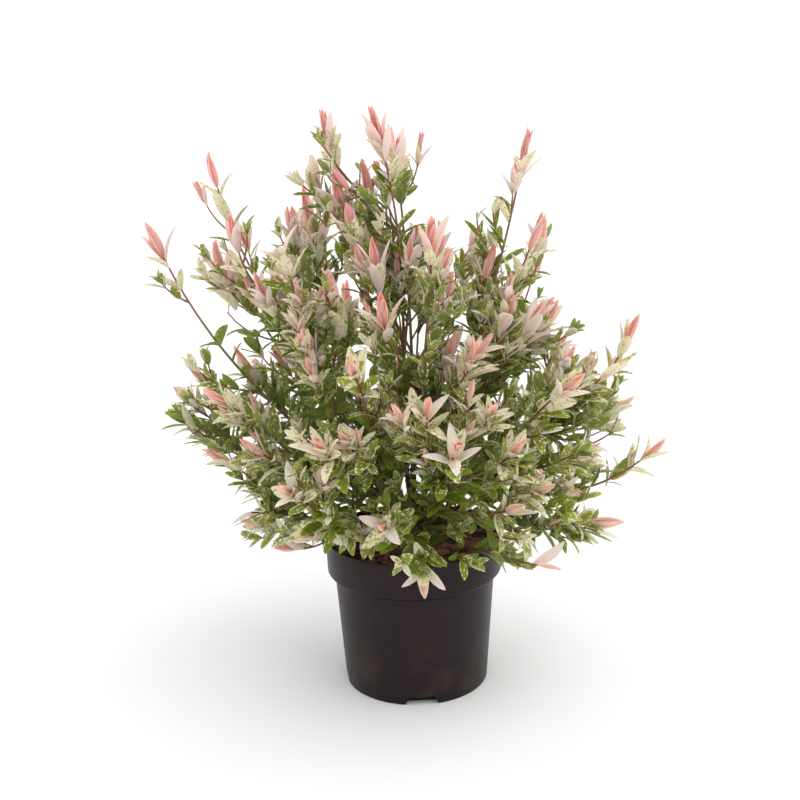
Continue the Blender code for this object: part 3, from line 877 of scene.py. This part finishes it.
def bent_rod(stem, sides, rings, relief=0):
    """A rod's points and pattern places, laid along a stem with a taper and uneven bark."""
    shape = rod(sides, rings)
    heading = stem.curve.heading(stem.first)
    side = across_of(heading, 0)
    level = np.rint(shape.points[:, 2]).astype(int)
    points = np.empty_like(shape.points)
    for i in range(rings):
        share = i / (rings - 1)
        t = between((stem.first, stem.last), share)
        ahead = stem.curve.heading(t)
        side = heading.rotation_difference(ahead) @ side
        heading = ahead
        other = heading.cross(side)
        radius = between((stem.foot_radius, stem.end_radius), share)
        here = level == i
        spokes = shape.points[here, :2] @ np.array([side, other])
        places = np.array(stem.curve.at(t)) + spokes * radius
        if relief:
            swell = [noise.fractal(Vector(p) * RELIEF_SCALE, 1.0, 2.0, 3) for p in places]
            places += spokes * (relief * radius * np.array(swell)[:, None])
        points[here] = places
    pattern = shape.pattern.copy()
    pattern[:, 1] = between((stem.foot_youth, stem.end_youth), pattern[:, 1] / (rings - 1))
    return shape, points, pattern


# Materials


class Tree:
    """The nodes of a material or of a shared effect, with short ways to add to them."""

    def __init__(self, tree):
        self.nodes = tree.nodes
        self.links = tree.links

    def feed(self, socket, term):
        """Gives a socket another one's result, or a number, a vector or a colour."""
        if isinstance(term, bpy.types.NodeSocket):
            self.links.new(term, socket)
        elif socket.type == "RGBA" and len(term) == 3:
            socket.default_value = (*term, 1)
        else:
            socket.default_value = term

    def node(self, kind, inputs=(), **values):
        """A node with these values, fed through the inputs that are named or numbered."""
        made = self.nodes.new("ShaderNode" + kind)
        for name, value in values.items():
            setattr(made, name, value)
        for name, term in dict(inputs).items():
            self.feed(made.inputs[name], term)
        return made.outputs

    def maths(self, operation, *terms, clamp=False):
        return self.node("Math", enumerate(terms), operation=operation, use_clamp=clamp)[0]

    def rise(self, value, low, high):
        """0 below the low end and 1 above the high one, with a smooth rise between."""
        inputs = {"Value": value, "From Min": low, "From Max": high}
        return self.node("MapRange", inputs, interpolation_type="SMOOTHSTEP")["Result"]

    def fall(self, value, low, high):
        """1 below the low end and 0 above the high one."""
        return self.maths("SUBTRACT", 1, self.rise(value, low, high))

    def mixed(self, share, first, second):
        """A colour between two."""
        return self.node("Mix", {0: share, 6: first, 7: second}, data_type="RGBA")[2]

    def cloud(self, place, scale, detail=2, roughness=0.5):
        """Soft noise about one half."""
        inputs = {"Vector": place, "Scale": scale, "Detail": detail, "Roughness": roughness}
        return self.node("TexNoise", inputs)["Fac"]

    def spots(self, place, scale):
        """The distance from the nearest of many scattered points."""
        return self.node("TexVoronoi", {"Vector": place, "Scale": scale})["Distance"]

    def place(self):
        return self.node("TexCoord")["Object"]

    def pattern(self):
        return self.node("UVMap", uv_map=PATTERN_MAP)[0]


def new_material(name, **values):
    """A material, the tree of its nodes and its shader's inputs."""
    material = bpy.data.materials.new(name)
    material.use_nodes = True
    tree = Tree(material.node_tree)
    inputs = tree.nodes["Principled BSDF"].inputs
    for title, value in values.items():
        tree.feed(inputs[title.replace("_", " ")], value)
    return material, tree, inputs


def relief(tree, inputs, height, strength, distance):
    """Gives a shader the bumps of this height."""
    given = {"Strength": strength, "Distance": distance, "Height": height}
    tree.feed(inputs["Normal"], tree.node("Bump", given)[0])


def shade(colour, share):
    """A colour made darker, or lighter where the share is above 1."""
    return tuple(part * share for part in colour)


def new_group(name, sockets_in, sockets_out):
    """An empty shared effect, the tree of its nodes, and its ends inside the tree."""
    group = bpy.data.node_groups.new(name, "ShaderNodeTree")
    for end, sockets in (("INPUT", sockets_in), ("OUTPUT", sockets_out)):
        for title, kind in sockets.items():
            group.interface.new_socket(name=title, in_out=end, socket_type=f"NodeSocket{kind}")
    tree = Tree(group)
    given = tree.nodes.new("NodeGroupInput").outputs
    return group, tree, given, tree.nodes.new("NodeGroupOutput").inputs


GRAIN_SIZE = (0.34, 0.6, 40)  # of a leaf's cell across and along, and from cell to cell


@functools.cache
def place_on_leaf():
    """Shared effect: where a point lies on its leaf, read from the leaf's pattern cell."""
    numbers = dict.fromkeys(("Along", "Aside", "Underside", "Tint", "Chance"), "Float")
    group, tree, _, out = new_group("place_on_leaf", {}, {**numbers, "Grain": "Vector"})
    split = tree.node("SeparateXYZ", {0: tree.pattern()})
    column = tree.maths("MULTIPLY", split[0], PATTERN_COLUMNS)
    row = tree.maths("MULTIPLY", split[1], PATTERN_ROWS)
    whole_column = tree.maths("FLOOR", column)
    whole_row = tree.maths("FLOOR", row)
    across = tree.maths("SUBTRACT", column, whole_column)
    along = tree.maths("SUBTRACT", row, whole_row)
    aside = tree.maths("ABSOLUTE", tree.maths("SUBTRACT", across, 0.5))
    cell = tree.node("CombineXYZ", {0: whole_column, 1: whole_row})[0]
    dice = tree.node("TexWhiteNoise", {"Vector": cell}, noise_dimensions="2D")["Value"]
    grain = [tree.maths("MULTIPLY", *terms) for terms in zip((across, along, dice), GRAIN_SIZE)]
    results = {
        "Along": along,
        "Aside": tree.maths("MULTIPLY", aside, 2),
        "Underside": tree.maths("LESS_THAN", row, PATTERN_ROWS / 2),
        "Tint": tree.maths("DIVIDE", whole_column, PATTERN_COLUMNS - 1),
        "Chance": dice,
        "Grain": tree.node("CombineXYZ", enumerate(grain))[0],
    }
    for title, result in results.items():
        tree.feed(out[title], result)
    return group


@functools.cache
def specks():
    """Shared effect: ragged specks, and the cloud that they are cut from."""
    group, tree, given, out = new_group(
        "specks", {"Grain": "Vector", "Scale": "Float", "Share": "Float"},
        {"Mask": "Float", "Cloud": "Float"},
    )
    cloud = tree.cloud(given["Grain"], given["Scale"], 3, 0.6)
    level = tree.maths("SUBTRACT", 1, given["Share"])
    over = tree.maths("SUBTRACT", cloud, level)
    tree.feed(out["Cloud"], cloud)
    tree.feed(out["Mask"], tree.maths("MULTIPLY", over, 30, clamp=True))
    return group


LEAF_SHINE = 0.18
GLOW_DEPTH = 0.003
FLUSH_ENDS = (0.05, 0.55)  # along a leaf, where the flush at its root fades
RIB_EDGES = (0.02, 0.13)  # from the middle of a leaf, where its midrib fades
RIB_SHARE = 0.55
UNDERSIDE_SHARE = 0.4
VEIN_SCALE = 4.5
VEIN_SLANT = 0.12
VEIN_RISE = 0.25  # against the midrib's


def leaf_material(kind, look):
    """A leaf's finish: two base tones, a flush at the root, margin, specks, midrib, underside."""
    material, tree, inputs = new_material(
        f"leaf_{kind}", Roughness=look["roughness"], Specular_IOR_Level=LEAF_SHINE,
        Subsurface_Weight=look["glow"], Subsurface_Scale=GLOW_DEPTH,
        Subsurface_Radius=look["glow_radius"],
    )
    here = tree.node("Group", node_tree=place_on_leaf())
    given = {"Grain": here["Grain"], "Scale": look["speck_scale"], "Share": look["speck_share"]}
    speck = tree.node("Group", given, node_tree=specks())
    along, aside, tint = here["Along"], here["Aside"], here["Tint"]
    plain = tree.mixed(tint, look["first"], look["last"])
    deep = tree.mixed(tint, look["first_deep"], look["last_deep"])
    colour = tree.mixed(here["Chance"], plain, deep)
    ragged = tree.maths("SUBTRACT", speck["Cloud"], 0.5)
    edge = tree.maths("MULTIPLY_ADD", ragged, look["ragged"], aside)
    margin = tree.rise(edge, look["margin_from"], look["margin_from"] + look["margin_fade"])
    rib = tree.fall(aside, *RIB_EDGES)
    flush = tree.fall(along, *FLUSH_ENDS)
    for layer, share in (
        ("flush", tree.maths("MULTIPLY", flush, look["flush_share"])),
        ("margin", tree.maths("MULTIPLY", margin, look["margin_share"])),
        ("speck", speck["Mask"]),
        ("rib", tree.maths("MULTIPLY", rib, RIB_SHARE)),
        ("underside", tree.maths("MULTIPLY", here["Underside"], UNDERSIDE_SHARE)),
    ):
        colour = tree.mixed(share, colour, look[layer])
    tree.feed(inputs["Base Color"], colour)
    slant = tree.maths("SUBTRACT", along, tree.maths("MULTIPLY", aside, VEIN_SLANT))
    given = {"Vector": tree.node("CombineXYZ", {1: slant})[0], "Scale": VEIN_SCALE}
    veins = tree.node("TexWave", given, bands_direction="Y")["Fac"]
    height = tree.maths("SUBTRACT", tree.maths("MULTIPLY", veins, VEIN_RISE), rib)
    relief(tree, inputs, height, 0.35, 0.0006)
    return material


def leaf_looks(leaves):
    """Each kind of leaf's finish, from the colours that the settings hold."""
    green, cream, blush, coral = leaves.green, leaves.cream, leaves.blush, leaves.coral
    bright_green = (green[0] * 2.1, green[1] * 1.7, green[2] * 2.4)
    common = dict(
        roughness=0.46, glow=0.3, glow_radius=(0.8, 1.0, 0.2), speck_scale=11, speck_share=0.0,
        speck=cream, margin=cream, margin_share=0.0, margin_from=0.6, margin_fade=0.4, ragged=0.0,
        flush=green, flush_share=0.0, rib=bright_green, underside=(0.27, 0.32, 0.13),
        first=green, last=green, first_deep=shade(green, 0.5), last_deep=shade(green, 0.5),
    )
    return {
        "green": dict(common, speck_share=0.40, speck=shade(green, 1.5)),
        "dappled": dict(
            common, last_deep=bright_green, speck_share=0.42, ragged=2.2, margin_share=1.0,
            margin_from=0.6, margin_fade=0.12,
        ),
        "pale": dict(
            common, glow=0.5, glow_radius=(1, 0.9, 0.5), first=cream, last=cream,
            first_deep=(0.85, 0.67, 0.55), last_deep=(0.76, 0.72, 0.44),
            speck_share=0.44, speck=(0.22, 0.24, 0.045), rib=(0.34, 0.34, 0.10),
            underside=(0.74, 0.72, 0.50),
        ),
        "blush": dict(
            common, glow=0.6, glow_radius=(1, 0.75, 0.65), first=blush, last=(0.84, 0.72, 0.58),
            first_deep=(0.88, 0.49, 0.45), last_deep=(0.84, 0.76, 0.66),
            flush=(0.82, 0.34, 0.30), flush_share=0.5, rib=(0.82, 0.46, 0.40),
            margin_share=0.4, margin=(0.88, 0.80, 0.76), underside=(0.85, 0.70, 0.65),
        ),
        "coral": dict(
            common, roughness=0.4, glow=0.5, glow_radius=(1, 0.5, 0.4), first=coral,
            last=(0.92, 0.63, 0.49), first_deep=(0.87, 0.18, 0.18), last_deep=(0.90, 0.48, 0.36),
            flush=(0.86, 0.52, 0.47), flush_share=0.25, rib=(0.82, 0.17, 0.16),
            margin_share=0.7, margin_from=0.4, margin=(0.94, 0.63, 0.58),
            underside=(0.86, 0.48, 0.44),
        ),
    }


DUST_HEIGHT = 0.075


def plastic_material(pot):
    """Satin black plastic with faint moulding marks, and dry soil low on the wall."""
    material, tree, inputs = new_material(
        "black_plastic", Specular_IOR_Level=0.18, Specular_Tint=(1, 0.86, 0.88)
    )
    place = tree.place()
    height = tree.node("SeparateXYZ", {0: place})[2]
    cloud = tree.cloud(place, 26, 6)
    patches = tree.rise(cloud, 0.47, 0.72)
    low = tree.maths("MULTIPLY", tree.fall(height, 0, DUST_HEIGHT), patches)
    dust = tree.maths("MULTIPLY_ADD", low, 0.13, tree.maths("MULTIPLY", patches, 0.03))
    tree.feed(inputs["Base Color"], tree.mixed(dust, pot.plastic, pot.dust))
    rough = tree.maths("MULTIPLY_ADD", cloud, 0.16, 0.30)
    tree.feed(inputs["Roughness"], tree.maths("MULTIPLY_ADD", dust, 0.5, rough))
    relief(tree, inputs, tree.cloud(place, 900), 0.12, 0.0004)
    return material


def chip_material(bark):
    """Bark chips in many browns, streaked along their length."""
    material, tree, inputs = new_material("bark_chips", Roughness=0.88, Specular_IOR_Level=0.25)
    here = tree.node("Group", node_tree=place_on_leaf())
    stretch = tree.node("Mapping", {"Vector": here["Grain"], "Scale": (26, 5, 1)})[0]
    streaks = tree.cloud(stretch, 2.2, 5)
    colour = tree.mixed(here["Chance"], bark.dark, bark.light)
    line = tree.maths("MULTIPLY", tree.rise(streaks, 0.35, 0.7), 0.6)
    tree.feed(inputs["Base Color"], tree.mixed(line, colour, bark.dark))
    relief(tree, inputs, streaks, 0.5, 0.0006)
    return material


def soil_material(bark):
    """The dark crumbs between the chips."""
    material, tree, inputs = new_material("bark_fines", Roughness=0.95, Specular_IOR_Level=0.2)
    crumbs = tree.spots(tree.place(), 420)
    tree.feed(inputs["Base Color"], tree.mixed(crumbs, shade(bark.dark, 0.5), bark.light))
    return material


def bough_material(stems):
    """Maroon-brown bark with pale flecks and uneven darker patches."""
    material, tree, inputs = new_material("willow_bark", Roughness=0.6, Specular_IOR_Level=0.4)
    place = tree.place()
    cloud = tree.cloud(place, 170, 6)
    wood = stems.old_wood
    colour = tree.mixed(tree.rise(cloud, 0.35, 0.65), shade(wood, 0.45), wood)
    flecks = tree.maths("MULTIPLY", tree.fall(tree.spots(place, 300), 0.1, 0.3), 0.5)
    tree.feed(inputs["Base Color"], tree.mixed(flecks, colour, (0.30, 0.20, 0.14)))
    relief(tree, inputs, cloud, 0.6, 0.0008)
    return material


def twig_material(stems):
    """Twigs that turn from brown through olive to red as they near their tips."""
    material, tree, inputs = new_material("willow_twigs", Roughness=0.45, Specular_IOR_Level=0.5)
    pattern = tree.pattern()
    youth = tree.node("SeparateXYZ", {0: pattern})[1]
    wander = tree.maths("MULTIPLY_ADD", tree.cloud(pattern, 9), 0.24, -0.12)
    youth = tree.maths("ADD", youth, wander)
    colour = tree.mixed(tree.rise(youth, 0.1, 0.5), stems.old_wood, stems.green_wood)
    colour = tree.mixed(tree.rise(youth, 0.72, 0.98), colour, stems.red_wood)
    tree.feed(inputs["Base Color"], colour)
    return material


# Pieces


def arc(centre_x, centre_z, radius, first, last, count):
    """Points of a profile's round stretch, between two angles in degrees."""
    angles = [math.radians(first + (last - first) * i / (count - 1)) for i in range(count)]
    return [(centre_x + radius * math.cos(a), centre_z + radius * math.sin(a)) for a in angles]


def turned(profile, steps):
    """A bmesh turned about the Z axis from (radius, height) points."""
    bm = bmesh.new()
    verts = [bm.verts.new((x, 0, z)) for x, z in profile]
    edges = [bm.edges.new(pair) for pair in zip(verts, verts[1:])]
    bmesh.ops.spin(
        bm, geom=verts + edges, cent=(0, 0, 0), axis=(0, 0, 1),
        angle=math.tau, steps=steps, use_merge=True,
    )
    bmesh.ops.remove_doubles(bm, verts=bm.verts, dist=0.00001)
    bmesh.ops.recalc_face_normals(bm, faces=bm.faces)
    return bm


def mesh_of(bm, name, sharp_angle):
    mesh = bpy.data.meshes.new(name)
    bm.to_mesh(mesh)
    bm.free()
    mesh.shade_smooth()
    mesh.set_sharp_from_angle(angle=sharp_angle)
    return mesh


def inner_radius(height, wall):
    """The pot's inner radius below its lip."""
    share = height / (POT_HEIGHT - LIP_HEIGHT)
    return BODY_FOOT_RADIUS + (BODY_TOP_RADIUS - BODY_FOOT_RADIUS) * share - wall


def pot_profile(wall):
    step = POT_HEIGHT - LIP_HEIGHT
    bead = step - BEAD_DROP
    bead_radius = inner_radius(bead, 0)
    ledge = BODY_FOOT_RADIUS - NOTCH_DEPTH - LEDGE_WALL
    profile = [(0, POT_FLOOR), (ledge, POT_FLOOR), (ledge, LEDGE_HEIGHT)]
    profile += [(inner_radius(LEDGE_HEIGHT, wall), LEDGE_HEIGHT)]
    profile += [(inner_radius(step, wall), step + wall)]
    profile += [(LIP_FOOT_RADIUS - wall, step + wall)]
    profile += arc(RIM_RADIUS - wall / 2, POT_HEIGHT - wall / 2, wall / 2, 180, 0, 9)
    profile += arc(LIP_FOOT_RADIUS - LIP_ROUNDING, step + LIP_ROUNDING, LIP_ROUNDING, 0, -90, 9)
    profile += [(BODY_TOP_RADIUS + BEAD_SIZE, step), (BODY_TOP_RADIUS, step - BEAD_SIZE)]
    profile += arc(bead_radius, bead, BEAD_SIZE, 80, -80, 5)
    profile += arc(BODY_FOOT_RADIUS - FOOT_ROUNDING, FOOT_ROUNDING, FOOT_ROUNDING, 0, -90, 6)
    return profile + [(0, 0)]


def notch_cutter():
    """The drainage notches, each a block from below the floor that narrows upwards."""
    bm = bmesh.new()
    for i in range(NOTCH_COUNT):
        made = bmesh.ops.create_cube(bm, size=1)["verts"]
        for vert in made:
            x, y, z = vert.co
            half = NOTCH_MOUTH / 2 if z < 0 else NOTCH_TOP / 2
            vert.co = (2 * NOTCH_DEPTH * x, math.copysign(half, y), math.copysign(NOTCH_HEIGHT, z))
        turn = Matrix.Rotation(NOTCH_AZIMUTH + math.tau * i / NOTCH_COUNT, 4, "Z")
        bmesh.ops.translate(bm, verts=made, vec=(BODY_FOOT_RADIUS, 0, 0))
        bmesh.ops.transform(bm, verts=made, matrix=turn)
    return bm


def cut(mesh, cutter_mesh):
    """The mesh with the cutter's shape taken out of it."""
    scene = bpy.context.scene.collection
    body = bpy.data.objects.new("body", mesh)
    cutter = bpy.data.objects.new("cutter", cutter_mesh)
    scene.objects.link(body)
    scene.objects.link(cutter)
    taken = body.modifiers.new("cut", "BOOLEAN")
    taken.operation = "DIFFERENCE"
    taken.object = cutter
    taken.solver = "EXACT"
    graph = bpy.context.evaluated_depsgraph_get()
    result = bpy.data.meshes.new_from_object(body.evaluated_get(graph))
    bpy.data.objects.remove(body)
    bpy.data.objects.remove(cutter)
    return result


class WILLOW_OT_pot(bpy.types.Operator):
    """Makes the nursery pot"""

    bl_idname = "willow.pot"
    bl_label = "Pot"

    def execute(self, context):
        pot = context.scene.willow_pot
        shell = mesh_of(turned(pot_profile(pot.wall), POT_STEPS), "pot_shell", SHARP_POT)
        shell = cut(shell, mesh_of(notch_cutter(), "notches", 0))
        shell.name = "pot_shell"
        shell.set_sharp_from_angle(angle=SHARP_POT)
        put("pot_shell", shell, plastic_material(pot), "black_plastic", "pot")
        return {"FINISHED"}


CHIP_SHAPES = 6
CHIP_BEVEL = 0.14
CHIP_CORNERS = 0.11  # how far a chip's corners stray
CHIP_TILT = 0.5
CHIP_LENGTHS = (0.45, 1.5)  # against the middling one
CHIP_WIDTHS = (0.35, 0.7)  # against the length
CHIP_THICKNESS = 0.24
CHIP_ROOM = 0.55  # of its length, that a chip's middle keeps from the edge
CHIP_DEPTHS = (0.0005, 0.0045)  # of a chip's middle below the top of the bark
FINES_SINK = 0.0035  # of the fines below it


def chip_shape(chance):
    """A chip of bark of unit length: a block with broken edges and uneven corners."""
    bm = bmesh.new()
    bmesh.ops.create_cube(bm, size=1)
    bmesh.ops.bevel(
        bm, geom=bm.edges[:] + bm.verts[:], offset=CHIP_BEVEL, offset_type="OFFSET",
        affect="EDGES", segments=1, profile=0.5, material=-1,
    )
    for vert in bm.verts:
        vert.co += Vector([chance.uniform(-CHIP_CORNERS, CHIP_CORNERS) for _ in range(3)])
    bmesh.ops.recalc_face_normals(bm, faces=bm.faces)

    def places(face, vert):
        x, y, z = vert.co
        return (0.5 + 0.6 * (y + 0.3 * z), 0.5 + 0.6 * (x + 0.3 * z))

    return shape_of(bm, places)


class WILLOW_OT_potting_bark(bpy.types.Operator):
    """Fills the pot with fines and strews bark chips over them"""

    bl_idname = "willow.potting_bark"
    bl_label = "Potting bark"

    def execute(self, context):
        bark = context.scene.willow_bark
        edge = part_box("potting_bark")[1].x
        step = POT_HEIGHT - LIP_HEIGHT
        wall = context.scene.willow_pot.wall
        shoulder = step + wall + GAP
        top = BARK_TOP - FINES_SINK
        profile = [(0, top), (edge * 0.72, top - BARK_SAG * 0.4)]
        profile += [(edge, top - BARK_SAG), (edge, shoulder)]
        profile += [(inner_radius(step, wall) - GAP, shoulder)]
        bottom = LEDGE_HEIGHT + GAP
        profile += [(inner_radius(bottom, wall) - GAP, bottom), (0, bottom)]
        fines = mesh_of(turned(profile, POT_STEPS), "bark_fines", SHARP_POT)
        put("bark_fines", fines, soil_material(bark), "potting_bark")
        chance = random.Random(SEED)
        shapes = [chip_shape(chance) for _ in range(CHIP_SHAPES)]
        bunch = Bunch()
        for _ in range(bark.chips):
            shape = chance.choice(shapes)
            length = bark.chip_length * chance.uniform(*CHIP_LENGTHS)
            width = length * chance.uniform(*CHIP_WIDTHS)
            sizes = (length, width, length * CHIP_THICKNESS)
            radius = (edge - length * CHIP_ROOM) * math.sqrt(chance.random())
            azimuth = chance.uniform(0, math.tau)
            height = BARK_TOP - BARK_SAG * (radius / edge) ** 2 - chance.uniform(*CHIP_DEPTHS)
            place = polar(azimuth, radius, height)
            axle = outward(chance.uniform(0, math.tau), math.pi / 2)
            tilt = Quaternion(axle, chance.uniform(0, CHIP_TILT))
            turn = tilt @ Quaternion(UP, chance.uniform(0, math.tau))
            axes = np.array([turn @ Vector(row) * s for row, s in zip(Matrix.Identity(3), sizes)])
            cell = (chance.randrange(PATTERN_COLUMNS), chance.randrange(PATTERN_ROWS))
            points = shape.points @ axes + np.array(place)
            bunch.add(shape, points, cell_pattern(shape, *cell))
        chips = bunch.mesh("bark_chips", SHARP_CHIP)
        put("bark_chips", chips, chip_material(bark), "potting_bark", "potting_bark")
        return {"FINISHED"}


STUMP_FOOT_RADIUS = 0.021
STUMP_WAIST_RADIUS = 0.0115
RIDGE_SCALE = (260, 260, 90)
RIDGE_DEPTH = 0.14


def stump_mesh():
    """The short stem the boughs spring from, with ridged bark."""
    foot = BARK_TOP - 0.003
    head = BARK_TOP + STUMP_HEAD_RISE
    profile = arc(0, head, STUMP_HEAD_RADIUS, 90, -38, 14)
    profile[0] = (0, profile[0][1])
    profile += [(STUMP_WAIST_RADIUS, BARK_TOP + 0.4 * STUMP_HEAD_RISE)]
    profile += [(STUMP_WAIST_RADIUS * 1.25, BARK_TOP + 0.15 * STUMP_HEAD_RISE)]
    profile += [(STUMP_FOOT_RADIUS, foot), (0, foot)]
    bm = turned(profile, 48)
    for vert in bm.verts:
        ridges = noise.fractal(vert.co * Vector(RIDGE_SCALE), 1.0, 2.0, 4)
        vert.co += Vector((vert.co.x, vert.co.y, 0)) * RIDGE_DEPTH * ridges
    return mesh_of(bm, "stump_bark", SHARP_STUMP)


class WILLOW_OT_wood(bpy.types.Operator):
    """Makes the stump, the boughs and the twigs"""

    bl_idname = "willow.wood"
    bl_label = "Wood"

    def execute(self, context):
        stems = context.scene.willow_stems
        bark = bough_material(stems)
        put("stump_bark", stump_mesh(), bark, "shrub_wood", "stump")
        boughs = Bunch()
        for stem in crown().boughs:
            boughs.add(*bent_rod(stem, BOUGH_SIDES, BOUGH_RINGS, BOUGH_RELIEF))
        mesh = boughs.mesh("bough_bark", SHARP_WOOD)
        mesh.uv_layers.remove(mesh.uv_layers[0])
        put("bough_bark", mesh, bark, "shrub_wood", *solid_names("bough"))
        twigs = Bunch()
        for stem in crown().twigs:
            rings = LEADER_RINGS if stem.foot_youth < TWIG_YOUTH else TWIG_RINGS
            twigs.add(*bent_rod(stem, TWIG_SIDES, rings))
        put("twigs", twigs.mesh("twigs", SHARP_WOOD), twig_material(stems), "shrub_wood")
        return {"FINISHED"}


LEAF_SLOTS = {
    "green": ("leaf_green", ("skirt",)),
    "dappled": ("leaf_dappled", ("waist",)),
    "pale": ("leaf_pale", ("spill",)),
    "blush": ("leaf_cream", ("shoulder",)),
    "coral": ("leaf_coral", ("top",)),
}


class WILLOW_OT_leaves(bpy.types.Operator):
    """Makes every kind of leaf, each as one piece"""

    bl_idname = "willow.leaves"
    bl_label = "Leaves"

    def execute(self, context):
        looks = leaf_looks(context.scene.willow_leaves)
        for kind, (slot, tiers) in LEAF_SLOTS.items():
            bunch = Bunch()
            for leaf in crown().leaves[kind]:
                bunch.add(leaf.shape, leaf.points, leaf.pattern)
            mesh = bunch.mesh(f"{kind}_leaves", SHARP_LEAF)
            material = leaf_material(kind, looks[kind])
            put(mesh.name, mesh, material, slot, *solid_names("foliage", *tiers))
        return {"FINISHED"}


FLOOR_SIZE = 30
FLOOR_GAP = 0.0002
SKY_COLOUR = (1, 0.985, 0.95, 1)
SKY_STRENGTH = 1.06
KEY_SOURCE = (0.9, -0.45, 1.3)
KEY_SPREAD = math.radians(70)
KEY_COLOUR = (1, 0.97, 0.92)
SENSOR_WIDTH = 36
CLIP_START = 0.01
CAMERA_PITCH = 0.2462  # radians below the level
CAMERA_YAW = -0.009
CAMERA_ROLL = 0.0265


def soft_sun(name, source, spread, strength, colour):
    """A broad, even light from a direction, which leaves the floor the same all over."""
    lamp = bpy.data.lights.new(name, "SUN")
    lamp.angle = spread
    lamp.energy = strength
    lamp.color = colour
    made = bpy.data.objects.new(name, lamp)
    made.rotation_euler = (-Vector(source)).to_track_quat("-Z", "Y").to_euler()
    bpy.context.scene.collection.objects.link(made)


class WILLOW_OT_stage(bpy.types.Operator):
    """Makes the floor, the lights and the camera"""

    bl_idname = "willow.stage"
    bl_label = "Stage"

    def execute(self, context):
        scene = context.scene
        stage = scene.willow_stage
        bm = bmesh.new()
        bmesh.ops.create_grid(bm, x_segments=1, y_segments=1, size=FLOOR_SIZE)
        floor = bpy.data.objects.new("floor", mesh_of(bm, "floor", 0))
        floor.location.z = -FLOOR_GAP
        scene.collection.objects.link(floor)
        material, _, _ = new_material(
            "floor", Base_Color=stage.floor, Roughness=0.9, Specular_IOR_Level=0.1
        )
        floor.data.materials.append(material)
        world = bpy.data.worlds.new("studio")
        world.use_nodes = True
        sky = world.node_tree.nodes["Background"].inputs
        sky["Color"].default_value = SKY_COLOUR
        sky["Strength"].default_value = SKY_STRENGTH
        scene.world = world
        soft_sun("key", KEY_SOURCE, KEY_SPREAD, stage.key_strength, KEY_COLOUR)
        camera = bpy.data.objects.new("camera", bpy.data.cameras.new("camera"))
        camera.data.lens = stage.lens
        camera.data.sensor_width = SENSOR_WIDTH
        camera.data.clip_start = CLIP_START
        camera.matrix_world = (
            Matrix.Translation(CAMERA_PLACE) @ Matrix.Rotation(-CAMERA_YAW, 4, "Z")
            @ Matrix.Rotation(math.pi / 2 - CAMERA_PITCH, 4, "X")
            @ Matrix.Rotation(-CAMERA_ROLL, 4, "Z")
        )
        scene.collection.objects.link(camera)
        scene.camera = camera
        scene.view_settings.view_transform = "Standard"
        return {"FINISHED"}


class WILLOW_PT_pieces(bpy.types.Panel):
    """Lists the pieces and the settings they are made from"""

    bl_label = "Dappled willow"
    bl_idname = "WILLOW_PT_pieces"
    bl_space_type = "VIEW_3D"
    bl_region_type = "UI"
    bl_category = "Willow"

    def draw(self, context):
        for operator, settings in STEPS:
            box = self.layout.box()
            box.operator(operator.bl_idname)
            group = getattr(context.scene, settings)
            for name in group.bl_rna.properties.keys():
                if name not in ("rna_type", "name"):
                    box.prop(group, name)


STEPS = (
    (WILLOW_OT_pot, "willow_pot"),
    (WILLOW_OT_potting_bark, "willow_bark"),
    (WILLOW_OT_wood, "willow_stems"),
    (WILLOW_OT_leaves, "willow_leaves"),
    (WILLOW_OT_stage, "willow_stage"),
)
SETTINGS = {
    "willow_pot": PotSettings,
    "willow_bark": BarkSettings,
    "willow_stems": StemSettings,
    "willow_leaves": LeafSettings,
    "willow_stage": StageSettings,
}


def register():
    for name, group in SETTINGS.items():
        bpy.utils.register_class(group)
        setattr(bpy.types.Scene, name, PointerProperty(type=group))
    for operator, _ in STEPS:
        bpy.utils.register_class(operator)
    bpy.utils.register_class(WILLOW_PT_pieces)


def unregister():
    bpy.utils.unregister_class(WILLOW_PT_pieces)
    for operator, _ in reversed(STEPS):
        bpy.utils.unregister_class(operator)
    for name, group in reversed(SETTINGS.items()):
        delattr(bpy.types.Scene, name)
        bpy.utils.unregister_class(group)


def main():
    register()
    bpy.ops.willow.pot()
    bpy.ops.willow.potting_bark()
    bpy.ops.willow.wood()
    bpy.ops.willow.leaves()
    bpy.ops.willow.stage()


if __name__ == "__main__":
    main()
